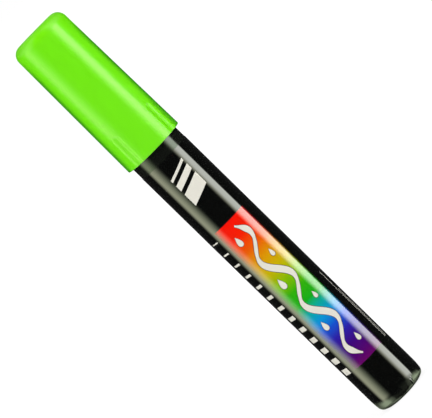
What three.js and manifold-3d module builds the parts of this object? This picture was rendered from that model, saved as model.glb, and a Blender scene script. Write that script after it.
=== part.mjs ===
// An acrylic paint marker with a chisel nib and a push valve, standing on its tail with its cap on.
// Millimetres, +Z up along the marker's axis, origin at the centre of the tail's flat face.
import * as THREE from "three";
import { mergeVertices } from "three/addons/utils/BufferGeometryUtils.js";
import Module from "manifold-3d";

const wasm = await Module();
wasm.setup();

// Facets
const roundSides = 40; // sides of every turned piece, shared so that nested pieces keep an even gap
const filletStep = 0.6; // one straight step for each so much of a fillet's radius
const filletStepsMost = 6;

// Clearances
const seatGap = 0.05; // between pieces that are pressed together or stacked face to face
const filmGap = 0.02; // between the barrel and the film shrunk onto it
const slideGap = 0.15; // round the nib in its holder
const finGap = 0.3; // round the valve stem in the port and in the cage floor
const looseGap = 0.3; // under the loose mixing balls

// Barrel
const bodyLength = 95.2; // tail face to the cap's rim
const barrelRadius = 8.1;
const barrelWall = 1.4;
const tailThickness = 2.2;
const tailRound = 2.0; // rounded edge round the tail face
const reservoirRound = 1.2; // rounded corner at the bottom of the reservoir
const capOverlap = 12.8; // how far the barrel stands inside the closed cap
const neckStart = 1.5; // above the rim, where the barrel narrows to its neck
const neckStep = 0.15;
const mouthWall = 0.7;
const mouthDepth = 12.5; // counterbore that takes the valve and the front section
const mouthRound = 0.35;
const snapBeadHeight = 6.5; // above the rim, the bead that the cap clicks over
const snapBeadRise = 0.12;
const snapBeadWidth = 1.2;

// Label film
const filmThickness = 0.06;
const filmStart = 3.7; // below the cap's rim
const filmTailGap = 0.7; // above the rounded edge of the tail

// Front section
const ringDepth = 7.0; // below the mouth, middle of the front seal ring
const ringSection = 1.0;
const ringGap = 0.04; // round the ring's section
const ringSlack = 0.4; // how much wider the groove is than the ring
const ringSides = 10;
const grooveFloorWall = 0.6; // front section's wall under the ring's groove
const plugSnapDepth = 2.2; // below the mouth, bead that locks the front section into the barrel
const plugSnapRise = 0.2;
const plugSnapWidth = 1.2;
const collarStep = 0.55; // from the mouth's bore in to the collar
const collarLength = 8.0;
const collarRound = 1.0;

// Nib holder and nib
const holderWall = 1.0;
const holderExposed = 7.6;
const holderRound = 0.35;
const holderFlangeThickness = 1.4;
const holderFlangeDepth = 3.6; // below the mouth, where the flange's top seats
const holderGrooves = 4; // paint and air grooves along the holder's bore
const holderGrooveWidth = 0.9;
const holderGrooveDepth = 0.4;
const nibRadius = 3.45;
const nibExposed = 9.4;
const nibSlant = 28; // degrees, the writing edge against the plane across the axis
const nibWedge = 27; // degrees, each chisel face against the axis
const nibEdgeThickness = 1.3;
const nibRearChamfer = 0.6;
const nibRearBelowHolder = 1.2;
const nibTravel = 2.2; // how far the nib is pressed in to open the valve

// Valve
const valveFlangeThickness = 1.5;
const valveSkirtWall = 1.0;
const portChamfer = 0.4;
const gasketThickness = 0.9;
const gasketWidth = 1.75; // from the gasket's hole to its outer edge
const gasketOverlap = 0.15; // how much wider the gasket's hole is than the port
const stemFinThickness = 0.8;
const stemPadThickness = 0.9; // disc that the nib pushes on
const discThickness = 1.2;
const discClearance = 0.75; // paint's way between the disc and the valve's skirt
const stopGap = 0.2; // left under the disc when the nib is fully pressed
const lipHeight = 0.2; // sealing lip round the disc's edge
const guideRadius = 1.6;
const guideBelowCage = 0.4;
const springLength = 9.3;
const springCoilRadius = 2.6; // to the middle of the wire
const wireRadius = 0.25;
const deadTurns = 1; // close turn at each end
const deadGap = 0.45; // between the wires of a close turn
const liveTurns = 5;
const springSteps = 10; // steps in each turn
const wireSides = 6;
const springClearance = 0.85; // between the spring and the cage
const cageWall = 0.8;
const cageClearance = 0.4; // between the cage's cuff and the reservoir's wall
const cuffWall = 0.6; // cage wall round the valve's skirt
const cuffLength = 3.6;
const cageFloorThickness = 1.2;
const cageWindows = 4;
const cageWindowWidth = 3.2;
const cageWindowMargin = 0.9; // cage wall left over each window
const cageWindowSill = 0.3;

// Mixing balls, side by side on the reservoir's floor
const ballWallGap = 0.6; // between a ball and the reservoir's wall
const ballPairGap = 0.2; // between the two balls
const ballSides = 20;
const ballRings = 12;

// Cap
const capClearance = 0.25; // between the barrel and the cap's bore at the rim
const capWall = 1.1;
const capDraft = 0.55; // how much the radius shrinks from the rim to the closed end
const capEndWall = 1.3;
const capEndRound = 3.0;
const capRimRound = 0.2;
const capBeadRise = 0.12; // inner bead that clicks over the barrel's bead
const capBeadWidth = 1.4;
const capBeadHeight = 3.6; // above the rim
const ribCount = 4;
const ribLength = 10.4;
const ribWidth = 1.8;
const ribHeight = 0.35;
const ribBevel = 0.3;
const ribRoot = 0.2; // how deep a rib is let into the cap's wall, besides its bevel

// Inner seal of the cap
const nibHeadroom = 4.65; // free space over the nib inside the seal
const sealTopThickness = 1.0;
const sealSkirtWall = 0.6;
const sealSkirtRelief = 0.2; // the skirt above the lip stands this much wider
const sealLipGap = 0.1; // between the lip and the collar
const sealLipHeight = 2.2;
const sealSeatGap = 0.1; // the skirt stands on the barrel's mouth, which stops the cap
const sealBandHeight = 5.5; // band pressed into the cap's bore
const sealRound = 1.0;
const sealInnerRound = 0.8;

// Levels that follow from the sizes above
const rimZ = bodyLength;
const mouthZ = rimZ + capOverlap;
const ledgeZ = mouthZ - mouthDepth;
const collarTopZ = mouthZ + collarLength;
const holderTopZ = collarTopZ + holderExposed;
const nibTipZ = holderTopZ + nibExposed;
const sealTopZ = nibTipZ + nibHeadroom + sealTopThickness;
const capBoreEndZ = sealTopZ + seatGap;
const capEndZ = capBoreEndZ + capEndWall;
const valveFlangeBottomZ = ledgeZ + seatGap;
const valveFlangeTopZ = valveFlangeBottomZ + valveFlangeThickness;
const plugBottomZ = valveFlangeTopZ + seatGap;
const holderFlangeTopZ = mouthZ - holderFlangeDepth;
const holderBottomZ = holderFlangeTopZ - holderFlangeThickness;
const nibRearZ = holderBottomZ - nibRearBelowHolder;
const stemTopZ = nibRearZ - seatGap;
const gasketTopZ = valveFlangeBottomZ - seatGap;
const gasketBottomZ = gasketTopZ - gasketThickness;
const discTopZ = gasketBottomZ - seatGap - lipHeight;
const discBottomZ = discTopZ - discThickness;
const cageLedgeZ = discBottomZ - nibTravel - stopGap;
const skirtBottomZ = cageLedgeZ + seatGap;
const springTopZ = discBottomZ - seatGap;
const springBottomZ = springTopZ - springLength;
const cageFloorTopZ = springBottomZ - seatGap;
const cageBottomZ = cageFloorTopZ - cageFloorThickness;

// Radii that follow from the sizes above
const boreRadius = barrelRadius - barrelWall;
const neckRadius = barrelRadius - neckStep;
const mouthBoreRadius = neckRadius - mouthWall;
const plugRadius = mouthBoreRadius - seatGap;
const collarRadius = mouthBoreRadius - collarStep;
const ringOuterRadius = mouthBoreRadius - ringGap;
const grooveRadius = ringOuterRadius - ringSection - ringGap;
const plugBoreRadius = grooveRadius - grooveFloorWall;
const holderFlangeRadius = plugBoreRadius - seatGap;
const holderBoreRadius = nibRadius + slideGap;
const holderRadius = holderBoreRadius + holderWall;
const cuffOuterRadius = boreRadius - cageClearance;
const cuffInnerRadius = cuffOuterRadius - cuffWall;
const skirtOuterRadius = cuffInnerRadius - seatGap;
const skirtInnerRadius = skirtOuterRadius - valveSkirtWall;
const gasketOuterRadius = skirtInnerRadius - seatGap;
const gasketInnerRadius = gasketOuterRadius - gasketWidth;
const portRadius = gasketInnerRadius - gasketOverlap;
const discRadius = skirtInnerRadius - discClearance;
const finReach = portRadius - finGap;
const cageInnerRadius = springCoilRadius + wireRadius + springClearance;
const cageOuterRadius = cageInnerRadius + cageWall;
const ballRadius = (boreRadius - ballWallGap - ballPairGap / 2) / 2;
const capRimBore = barrelRadius + capClearance;
const capLength = capEndZ - rimZ;

const materials = {
  capGreen: material(0x73e80a, 0.28),
  barrelBlack: material(0x14181a, 0.35),
  filmBlack: material(0x08090a, 0.12),
  frontBlack: material(0x1b1e20, 0.4),
  holderWhite: material(0xe9e8e2, 0.45),
  nibFelt: material(0xf1efe6, 0.9),
  sealNatural: material(0xeef0ea, 0.4),
  valveNatural: material(0xe4e2d8, 0.4),
  gasketRubber: material(0x2c2c2e, 0.75),
  springSteel: material(0xb9bcc0, 0.25, 1),
  ballSteel: material(0xc9ccd0, 0.12, 1),
};

function material(color, roughness, metalness = 0) {
  return new THREE.MeshStandardMaterial({ color, roughness, metalness });
}

// Outline of a turned piece as [radius, height, fillet] corners, with each fillet drawn as an arc.
function filleted(corners) {
  const points = [];
  corners.forEach(([radius, height, fillet = 0], i) => {
    const here = new THREE.Vector2(radius, height);
    const [br, bz] = corners[(i + corners.length - 1) % corners.length];
    const [ar, az] = corners[(i + 1) % corners.length];
    const back = new THREE.Vector2(br, bz).sub(here);
    const ahead = new THREE.Vector2(ar, az).sub(here);
    const opening = Math.acos(back.dot(ahead) / (back.length() * ahead.length()));
    const room = Math.min(back.length(), ahead.length()) / 2;
    const cut = Math.min(fillet / Math.tan(opening / 2), room);
    if (cut < 1e-4) {
      points.push(here);
      return;
    }
    const from = here.clone().add(back.setLength(cut));
    const to = here.clone().add(ahead.setLength(cut));
    const arcRadius = cut * Math.tan(opening / 2);
    const inward = from.clone().add(to).multiplyScalar(0.5).sub(here).normalize();
    const centre = here.clone().add(inward.multiplyScalar(arcRadius / Math.sin(opening / 2)));
    const start = Math.atan2(from.y - centre.y, from.x - centre.x);
    let sweep = Math.atan2(to.y - centre.y, to.x - centre.x) - start;
    if (sweep > Math.PI) sweep -= 2 * Math.PI;
    if (sweep < -Math.PI) sweep += 2 * Math.PI;
    const steps = Math.min(Math.ceil(fillet / filletStep), filletStepsMost);
    for (let k = 0; k <= steps; k++) {
      const angle = start + (sweep * k) / steps;
      points.push(new THREE.Vector2(Math.cos(angle), Math.sin(angle)).multiplyScalar(arcRadius).add(centre));
    }
  });
  return points;
}

// Turns an outline, whose corners run anticlockwise in radius and height, about the marker's axis.
function turned(corners) {
  const points = filleted(corners).map((p) => new THREE.Vector2(Math.max(p.x, 0), p.y));
  const closedOnAxis = points[0].x < 1e-6 && points.at(-1).x < 1e-6;
  if (!closedOnAxis) points.push(points[0].clone());
  return new THREE.LatheGeometry(points, roundSides).rotateX(Math.PI / 2);
}

function toSolid(geometry) {
  const bare = geometry.clone();
  bare.deleteAttribute("normal");
  bare.deleteAttribute("uv");
  const merged = mergeVertices(bare, 1e-4);
  return new wasm.Manifold(
    new wasm.Mesh({
      numProp: 3,
      vertProperties: merged.attributes.position.array,
      triVerts: new Uint32Array(merged.index.array),
    }),
  );
}

function toGeometry(solid) {
  const { vertProperties, triVerts } = solid.getMesh();
  const geometry = new THREE.BufferGeometry();
  geometry.setAttribute("position", new THREE.BufferAttribute(new Float32Array(vertProperties), 3));
  geometry.setIndex(new THREE.BufferAttribute(new Uint32Array(triVerts), 1));
  geometry.computeVertexNormals();
  return geometry;
}

// A geometry repeated evenly about the axis, starting at a given angle in degrees.
function around(geometry, count, startDegrees = 0) {
  return Array.from({ length: count }, (_, i) => {
    const angle = THREE.MathUtils.degToRad(startDegrees) + (2 * Math.PI * i) / count;
    return toSolid(geometry.clone().rotateZ(angle));
  });
}

// Three corners of a low ring round a wall, drawn from the bottom up.
function bead(radius, z, width, rise) {
  return [
    [radius, z - width / 2],
    [radius + rise, z],
    [radius, z + width / 2],
  ];
}

function capBore(z) {
  return capRimBore - (capDraft * (z - rimZ)) / capLength;
}

function barrel() {
  const snapGroove = bead(mouthBoreRadius, mouthZ - plugSnapDepth, plugSnapWidth, plugSnapRise);
  return turned([
    [0, 0],
    [barrelRadius, 0, tailRound],
    [barrelRadius, rimZ + neckStart],
    [neckRadius, rimZ + neckStart + neckStep],
    ...bead(neckRadius, rimZ + snapBeadHeight, snapBeadWidth, snapBeadRise),
    [neckRadius, mouthZ, mouthRound],
    [mouthBoreRadius, mouthZ],
    ...snapGroove.reverse(),
    [mouthBoreRadius, ledgeZ],
    [boreRadius, ledgeZ],
    [boreRadius, tailThickness, reservoirRound],
    [0, tailThickness],
  ]);
}

function labelFilm() {
  const inner = barrelRadius + filmGap;
  const outer = inner + filmThickness;
  const bottom = tailRound + filmTailGap;
  const top = rimZ - filmStart;
  return turned([
    [inner, bottom],
    [outer, bottom],
    [outer, top],
    [inner, top],
  ]);
}

function frontSection() {
  const ringZ = mouthZ - ringDepth;
  const halfGroove = (ringSection + ringSlack) / 2;
  const holderBore = holderRadius + seatGap;
  return turned([
    [plugBoreRadius, plugBottomZ],
    [plugRadius, plugBottomZ, 0.25],
    [plugRadius, ringZ - halfGroove],
    [grooveRadius, ringZ - halfGroove],
    [grooveRadius, ringZ + halfGroove],
    [plugRadius, ringZ + halfGroove],
    ...bead(plugRadius, mouthZ - plugSnapDepth, plugSnapWidth, plugSnapRise),
    [plugRadius, mouthZ],
    [collarRadius, mouthZ],
    [collarRadius, collarTopZ, collarRound],
    [holderBore, collarTopZ],
    [holderBore, holderFlangeTopZ + seatGap],
    [plugBoreRadius, holderFlangeTopZ + seatGap],
  ]);
}

function frontSealRing() {
  const middleRadius = ringOuterRadius - ringSection / 2;
  const section = Array.from({ length: ringSides }, (_, i) => {
    const angle = (2 * Math.PI * i) / ringSides;
    const radius = middleRadius + (ringSection / 2) * Math.cos(angle);
    return [radius, mouthZ - ringDepth + (ringSection / 2) * Math.sin(angle)];
  });
  return turned(section);
}

function nibHolder() {
  const body = toSolid(
    turned([
      [holderBoreRadius, holderBottomZ],
      [holderFlangeRadius, holderBottomZ, 0.2],
      [holderFlangeRadius, holderFlangeTopZ],
      [holderRadius, holderFlangeTopZ],
      [holderRadius, holderTopZ, holderRound],
      [holderBoreRadius, holderTopZ],
    ]),
  );
  const reach = holderBoreRadius + holderGrooveDepth;
  const groove = new THREE.BoxGeometry(reach, holderGrooveWidth, 2 * (holderTopZ - holderBottomZ));
  groove.translate(reach / 2, 0, (holderTopZ + holderBottomZ) / 2);
  return toGeometry(around(groove, holderGrooves).reduce((solid, cut) => solid.subtract(cut), body));
}

// A round felt rod, cut to a wedge by two faces and then across by the slanted writing edge.
function nib() {
  const rod = toSolid(
    turned([
      [0, nibRearZ],
      [nibRadius, nibRearZ, nibRearChamfer],
      [nibRadius, nibTipZ],
      [0, nibTipZ],
    ]),
  );
  const slant = THREE.MathUtils.degToRad(nibSlant);
  const wedge = THREE.MathUtils.degToRad(nibWedge);
  const blockSize = 6 * nibRadius;
  const edgeMiddle = new THREE.Vector3(0, 0, nibTipZ - nibRadius * Math.tan(slant));
  const acrossEdge = new THREE.Matrix4().makeRotationY(slant).setPosition(edgeMiddle);
  const above = new THREE.BoxGeometry(blockSize, blockSize, blockSize);
  above.translate(0, 0, blockSize / 2).applyMatrix4(acrossEdge);
  const sides = [-1, 1].map((side) => {
    const block = new THREE.BoxGeometry(blockSize, blockSize, blockSize);
    block.translate(0, (side * blockSize) / 2, 0).rotateX(side * wedge);
    block.translate(0, (side * nibEdgeThickness) / 2, 0).applyMatrix4(acrossEdge);
    return block;
  });
  return toGeometry([above, ...sides].reduce((solid, block) => solid.subtract(toSolid(block)), rod));
}

function valveHousing() {
  return turned([
    [portRadius, valveFlangeBottomZ],
    [skirtInnerRadius, valveFlangeBottomZ],
    [skirtInnerRadius, skirtBottomZ],
    [skirtOuterRadius, skirtBottomZ, 0.25],
    [skirtOuterRadius, valveFlangeBottomZ],
    [plugRadius, valveFlangeBottomZ],
    [plugRadius, valveFlangeTopZ, 0.3],
    [portRadius, valveFlangeTopZ, portChamfer],
  ]);
}

function valveGasket() {
  return turned([
    [gasketInnerRadius, gasketBottomZ, 0.15],
    [gasketOuterRadius, gasketBottomZ],
    [gasketOuterRadius, gasketTopZ],
    [gasketInnerRadius, gasketTopZ],
  ]);
}

// Cross of four fins, which lets paint past the stem.
function finCross(reach, thickness) {
  const half = thickness / 2;
  const fin = [
    new THREE.Vector2(reach, -half),
    new THREE.Vector2(reach, half),
    new THREE.Vector2(half, half),
  ];
  const centre = new THREE.Vector2();
  return new THREE.Shape(
    [0, 1, 2, 3].flatMap((quarter) =>
      fin.map((corner) => corner.clone().rotateAround(centre, (quarter * Math.PI) / 2)),
    ),
  );
}

// The nib pushes the pad down, and the spring holds the disc's lip up against the gasket.
function valveStem() {
  const guideBottomZ = cageBottomZ - guideBelowCage;
  const padBottomZ = stemTopZ - stemPadThickness;
  const finBottomZ = discBottomZ + discThickness / 2;
  const finTopZ = padBottomZ + stemPadThickness / 2;
  const disc = turned([
    [0, guideBottomZ],
    [guideRadius, guideBottomZ, 0.5],
    [guideRadius, discBottomZ],
    [discRadius, discBottomZ, 0.2],
    [discRadius, discTopZ + lipHeight],
    [discRadius - lipHeight, discTopZ + lipHeight],
    [discRadius - 2 * lipHeight, discTopZ],
    [0, discTopZ],
  ]);
  const fins = new THREE.ExtrudeGeometry(finCross(finReach, stemFinThickness), {
    depth: finTopZ - finBottomZ,
    bevelEnabled: false,
  });
  fins.translate(0, 0, finBottomZ);
  const pad = turned([
    [0, padBottomZ],
    [finReach, padBottomZ],
    [finReach, stemTopZ, 0.25],
    [0, stemTopZ],
  ]);
  return toGeometry(toSolid(disc).add(toSolid(fins)).add(toSolid(pad)));
}

// Middle line of the spring's wire: a close turn at each end and wider live turns between them.
class SpringLine extends THREE.Curve {
  getPoint(t, target = new THREE.Vector3()) {
    const turn = t * (2 * deadTurns + liveTurns);
    const closePitch = 2 * wireRadius + deadGap;
    const rise = springLength - 2 * wireRadius;
    const livePitch = (rise - 2 * deadTurns * closePitch) / liveTurns;
    const closeTurns = Math.min(turn, deadTurns) + Math.max(turn - deadTurns - liveTurns, 0);
    const angle = 2 * Math.PI * turn;
    return target.set(
      springCoilRadius * Math.cos(angle),
      springCoilRadius * Math.sin(angle),
      springBottomZ + wireRadius + closeTurns * closePitch + (turn - closeTurns) * livePitch,
    );
  }
}

function valveSpring() {
  const line = new SpringLine();
  const steps = (2 * deadTurns + liveTurns) * springSteps;
  const section = new THREE.Shape(
    Array.from({ length: wireSides }, (_, i) => {
      const angle = (2 * Math.PI * i) / wireSides;
      return new THREE.Vector2(wireRadius * Math.cos(angle), wireRadius * Math.sin(angle));
    }),
  );
  const points = Array.from({ length: steps + 1 }, (_, i) => line.getPoint(i / steps));
  const gaps = points.slice(springSteps).map((point, i) => point.distanceTo(points[i]) - 2 * wireRadius);
  console.log("least gap between the spring's turns:", Math.min(...gaps).toFixed(2), "mm");
  return new THREE.ExtrudeGeometry(section, { steps, bevelEnabled: false, extrudePath: line });
}

function valveCage() {
  const guideHole = guideRadius + finGap;
  const shoulderZ = cageLedgeZ - cageWall;
  const body = toSolid(
    turned([
      [guideHole, cageBottomZ],
      [cageOuterRadius, cageBottomZ, 0.6],
      [cageOuterRadius, shoulderZ],
      [cuffOuterRadius, shoulderZ, 0.3],
      [cuffOuterRadius, cageLedgeZ + cuffLength],
      [cuffInnerRadius, cageLedgeZ + cuffLength],
      [cuffInnerRadius, cageLedgeZ],
      [cageInnerRadius, cageLedgeZ],
      [cageInnerRadius, cageFloorTopZ],
      [guideHole, cageFloorTopZ],
    ]),
  );
  const windowBottomZ = cageFloorTopZ + cageWindowSill;
  const windowHeight = cageLedgeZ - cageWindowMargin - windowBottomZ;
  const window = new THREE.BoxGeometry(cageOuterRadius, cageWindowWidth, windowHeight);
  window.translate(cageOuterRadius, 0, windowBottomZ + windowHeight / 2);
  return toGeometry(around(window, cageWindows).reduce((solid, cut) => solid.subtract(cut), body));
}

function mixingBall() {
  return new THREE.SphereGeometry(ballRadius, ballSides, ballRings).rotateX(Math.PI / 2);
}

// Low rib up the cap's wall from the rim, with bevelled sides and a rounded upper end.
function capRib() {
  const halfWidth = ribWidth / 2 - ribBevel;
  const endCentre = ribLength - ribWidth / 2;
  const plan = new THREE.Shape();
  plan.moveTo(-halfWidth, -halfWidth);
  plan.lineTo(halfWidth, -halfWidth);
  plan.lineTo(halfWidth, endCentre);
  plan.absarc(0, endCentre, halfWidth, 0, Math.PI);
  plan.closePath();
  const rib = new THREE.ExtrudeGeometry(plan, {
    depth: ribRoot + ribHeight - ribBevel,
    bevelThickness: ribBevel,
    bevelSize: ribBevel,
    bevelSegments: 2,
    curveSegments: 6,
  });
  rib.rotateX(Math.PI / 2).rotateZ(Math.PI / 2).rotateY(-Math.atan(capDraft / capLength));
  return rib.translate(capRimBore + capWall - ribRoot, 0, rimZ);
}

function capShell() {
  const rimRadius = capRimBore + capWall;
  const beadZ = rimZ + capBeadHeight;
  const shell = toSolid(
    turned([
      [rimRadius, rimZ, capRimRound],
      [rimRadius - capDraft, capEndZ, capEndRound],
      [0, capEndZ],
      [0, capBoreEndZ],
      [capBore(capBoreEndZ), capBoreEndZ, sealRound],
      ...bead(capBore(beadZ), beadZ, capBeadWidth, -capBeadRise).reverse(),
      [capRimBore, rimZ, capRimRound],
    ]),
  );
  const below = new THREE.BoxGeometry(4 * rimRadius, 4 * rimRadius, ribLength);
  below.translate(0, 0, rimZ - ribLength / 2);
  const ribs = around(capRib(), ribCount, 180 / ribCount).map((rib) => rib.subtract(toSolid(below)));
  return toGeometry(ribs.reduce((solid, rib) => solid.add(rib), shell));
}

// The seal's lip closes round the collar, so the nib can't dry in the closed cap.
function capSeal() {
  const lipInner = collarRadius + sealLipGap;
  const skirtInner = lipInner + sealSkirtRelief;
  const skirtOuter = skirtInner + sealSkirtWall;
  const bandRadius = capBore(sealTopZ) - seatGap;
  const skirtBottomZ = mouthZ + sealSeatGap;
  const bandBottomZ = sealTopZ - sealBandHeight;
  const innerTopZ = sealTopZ - sealTopThickness;
  return turned([
    [lipInner, skirtBottomZ, 0.25],
    [skirtOuter, skirtBottomZ, 0.15],
    [skirtOuter, bandBottomZ - 0.3],
    [bandRadius, bandBottomZ],
    [bandRadius, sealTopZ, sealRound],
    [0, sealTopZ],
    [0, innerTopZ],
    [skirtInner, innerTopZ, sealInnerRound],
    [skirtInner, skirtBottomZ + sealLipHeight],
    [lipInner, skirtBottomZ + sealLipHeight - sealSkirtRelief],
  ]);
}

const marker = new THREE.Group();

function add(name, geometry, finish, x = 0, y = 0, z = 0) {
  const mesh = new THREE.Mesh(geometry, finish);
  mesh.name = name;
  mesh.position.set(x, y, z);
  marker.add(mesh);
}

add("barrel", barrel(), materials.barrelBlack);
add("label_film", labelFilm(), materials.filmBlack);
add("front_section", frontSection(), materials.frontBlack);
add("front_seal_ring", frontSealRing(), materials.gasketRubber);
add("nib_holder", nibHolder(), materials.holderWhite);
add("nib", nib(), materials.nibFelt);
add("valve_housing", valveHousing(), materials.valveNatural);
add("valve_gasket", valveGasket(), materials.gasketRubber);
add("valve_stem", valveStem(), materials.valveNatural);
add("valve_spring", valveSpring(), materials.springSteel);
add("valve_cage", valveCage(), materials.valveNatural);
[-1, 1].forEach((side, i) => {
  const x = side * (ballRadius + ballPairGap / 2);
  const z = tailThickness + looseGap + ballRadius;
  add(`mixing_ball_${i + 1}`, mixingBall(), materials.ballSteel, x, 0, z);
});
add("cap_shell", capShell(), materials.capGreen);
add("cap_seal", capSeal(), materials.sealNatural);

export default marker;
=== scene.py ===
# Acrylic paint marker with a chisel nib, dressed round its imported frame.
# Sizes in the dictionaries are millimetres and degrees, and finished meshes are metres.
import math

import bmesh
import bpy
from mathutils import Matrix, Vector, noise

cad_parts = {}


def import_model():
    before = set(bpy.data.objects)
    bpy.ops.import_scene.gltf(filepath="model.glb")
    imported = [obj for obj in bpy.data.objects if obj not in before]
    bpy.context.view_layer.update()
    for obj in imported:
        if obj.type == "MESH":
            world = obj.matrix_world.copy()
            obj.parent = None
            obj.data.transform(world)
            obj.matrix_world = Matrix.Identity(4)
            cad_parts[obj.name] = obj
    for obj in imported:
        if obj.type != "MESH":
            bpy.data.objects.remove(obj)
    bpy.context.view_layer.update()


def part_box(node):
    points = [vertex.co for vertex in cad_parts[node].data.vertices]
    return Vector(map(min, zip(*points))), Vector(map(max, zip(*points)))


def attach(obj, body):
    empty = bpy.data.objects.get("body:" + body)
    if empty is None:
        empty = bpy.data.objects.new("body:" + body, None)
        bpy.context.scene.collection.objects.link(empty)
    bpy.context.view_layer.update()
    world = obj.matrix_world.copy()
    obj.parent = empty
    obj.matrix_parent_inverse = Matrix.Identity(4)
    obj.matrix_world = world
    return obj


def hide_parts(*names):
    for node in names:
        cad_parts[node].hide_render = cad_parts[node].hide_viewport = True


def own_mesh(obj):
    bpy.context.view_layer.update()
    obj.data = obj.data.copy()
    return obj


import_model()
mm = 0.001
axisUp = (0, 0, 1)
origin = (0, 0, 0)
# degrees from the marker's front to the label's middle, which the camera and the lights face
faceTurn = -3.5


def span(node):
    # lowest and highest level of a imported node
    low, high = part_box(node)
    return low.z / mm, high.z / mm


rimLevel, capEndLevel = span("cap_shell")
mouthLevel = span("barrel")[1]
filmTopLevel = span("label_film")[1]
collarTopLevel = span("front_section")[1]
holderLowLevel, holderTopLevel = span("nib_holder")
nibLowLevel, nibTipLevel = span("nib")


def srgb(red, green, blue):
    # a colour as a screen shows it, made linear
    def linear(value):
        value /= 255
        return value / 12.92 if value <= 0.04045 else ((value + 0.055) / 1.055) ** 2.4
    return (linear(red), linear(green), linear(blue), 1.0)


def smooth(value, low, high):
    # 0 below low, 1 above high, eased between them; low may be the larger one
    share = min(max((value - low) / (high - low), 0), 1)
    return share * share * (3 - 2 * share)


def addNode(tree, kind, inputs=None, **settings):
    # inputs are values or sockets to link, by name or number
    node = tree.nodes.new(kind)
    for name, value in settings.items():
        setattr(node, name, value)
    for key, value in (inputs or {}).items():
        if isinstance(value, bpy.types.NodeSocket):
            tree.links.new(value, node.inputs[key])
        else:
            node.inputs[key].default_value = value
    return node


def maths(tree, operation, first, second=0.0, clamp=False):
    inputs = {0: first, 1: second}
    return addNode(
        tree, "ShaderNodeMath", inputs, operation=operation, use_clamp=clamp
    ).outputs[0]


def ease(tree, value, low, high, toLow=0.0, toHigh=1.0):
    # smooth step from low to high, which may run downwards
    if low > high:
        low, high, toLow, toHigh = high, low, toHigh, toLow
    node = addNode(
        tree,
        "ShaderNodeMapRange",
        {"Value": value, "From Min": low, "From Max": high, "To Min": toLow, "To Max": toHigh},
        interpolation_type="SMOOTHSTEP",
    )
    return node.outputs["Result"]


def vectorMaths(tree, operation, inputs):
    return addNode(tree, "ShaderNodeVectorMath", inputs, operation=operation).outputs


def blendColour(tree, share, first, second):
    inputs = {0: share, 6: first, 7: second}
    return addNode(tree, "ShaderNodeMix", inputs, data_type="RGBA").outputs[2]


def speckle(tree, vector, scale, detail=2.0, roughness=0.5, stretch=None):
    # noise between 0 and 1; stretch scales the coordinates first
    if stretch:
        vector = addNode(tree, "ShaderNodeMapping", {"Vector": vector, "Scale": stretch}).outputs[0]
    inputs = {"Vector": vector, "Scale": scale, "Detail": detail, "Roughness": roughness}
    return addNode(tree, "ShaderNodeTexNoise", inputs).outputs["Fac"]


def newGroup(name, inputs, outputs):
    tree = bpy.data.node_groups.new(name, "ShaderNodeTree")
    for label, kind, value in inputs:
        socket = tree.interface.new_socket(label, in_out="INPUT", socket_type=kind)
        if value is not None:
            socket.default_value = value
    for label in outputs:
        tree.interface.new_socket(label, in_out="OUTPUT", socket_type="NodeSocketFloat")
    given = tree.nodes.new("NodeGroupInput").outputs
    return tree, given, tree.nodes.new("NodeGroupOutput").inputs


def angleOf(tree, parts):
    # degrees round the marker from its front
    toFront = maths(tree, "MULTIPLY", parts["Y"], -1.0)
    return maths(tree, "DEGREES", maths(tree, "ARCTAN2", parts["X"], toFront))


def markerPlaceGroup():
    # angle round the marker and level in millimetres
    tree, given, result = newGroup(
        "markerPlace", [("Vector", "NodeSocketVector", None)], ["Angle", "Level"]
    )
    parts = addNode(tree, "ShaderNodeSeparateXYZ", {0: given["Vector"]}).outputs
    tree.links.new(angleOf(tree, parts), result["Angle"])
    tree.links.new(maths(tree, "MULTIPLY", parts["Z"], 1 / mm), result["Level"])
    return tree


skinPattern = {
    "peelScale": 420.0,
    "cloudScale": 95.0,
    "cloudStretch": (1.0, 1.0, 0.35),
    # how much the grain roughens the gloss
    "grainRoughness": 0.02,
}


def mouldedSkinGroup():
    # fine grain and a slow orange peel, as on moulded plastic
    p = skinPattern
    tree, given, result = newGroup(
        "mouldedSkin",
        [
            ("Vector", "NodeSocketVector", None),
            ("Grain Size", "NodeSocketFloat", 0.12),
            ("Grain Depth", "NodeSocketFloat", 0.3),
            ("Peel Depth", "NodeSocketFloat", 1.0),
            ("Roughness", "NodeSocketFloat", 0.3),
            ("Roughness Spread", "NodeSocketFloat", 0.05),
        ],
        ["Height", "Roughness", "Cloud"],
    )
    scale = maths(tree, "DIVIDE", 1 / mm, given["Grain Size"])
    grain = speckle(tree, given["Vector"], scale, 3.0, 0.6)
    peel = speckle(tree, given["Vector"], p["peelScale"], 1.0, 0.4)
    cloud = speckle(tree, given["Vector"], p["cloudScale"], 3.0, 0.55, p["cloudStretch"])
    height = maths(tree, "MULTIPLY", grain, given["Grain Depth"])
    height = maths(tree, "ADD", height, maths(tree, "MULTIPLY", peel, given["Peel Depth"]))
    spread = maths(tree, "MULTIPLY", maths(tree, "SUBTRACT", cloud, 0.5), given["Roughness Spread"])
    spread = maths(tree, "ADD", spread, maths(tree, "MULTIPLY", grain, p["grainRoughness"]))
    tree.links.new(height, result["Height"])
    tree.links.new(maths(tree, "ADD", given["Roughness"], spread), result["Roughness"])
    tree.links.new(cloud, result["Cloud"])
    return tree


marksPattern = {
    "scuffTurn": (0.4, 0.9, 0.3),
    "scuffStretch": (1.0, 14.0, 1.0),
    "scuffScale": 260.0,
    "scuffRange": (0.66, 0.72),
    "patchScale": 60.0,
    "patchRange": (0.52, 0.68),
    "speckScale": 420.0,
    "speckSize": (0.1, 0.04),
    "rareScale": 230.0,
    "rareRange": (0.66, 0.7),
}


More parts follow.
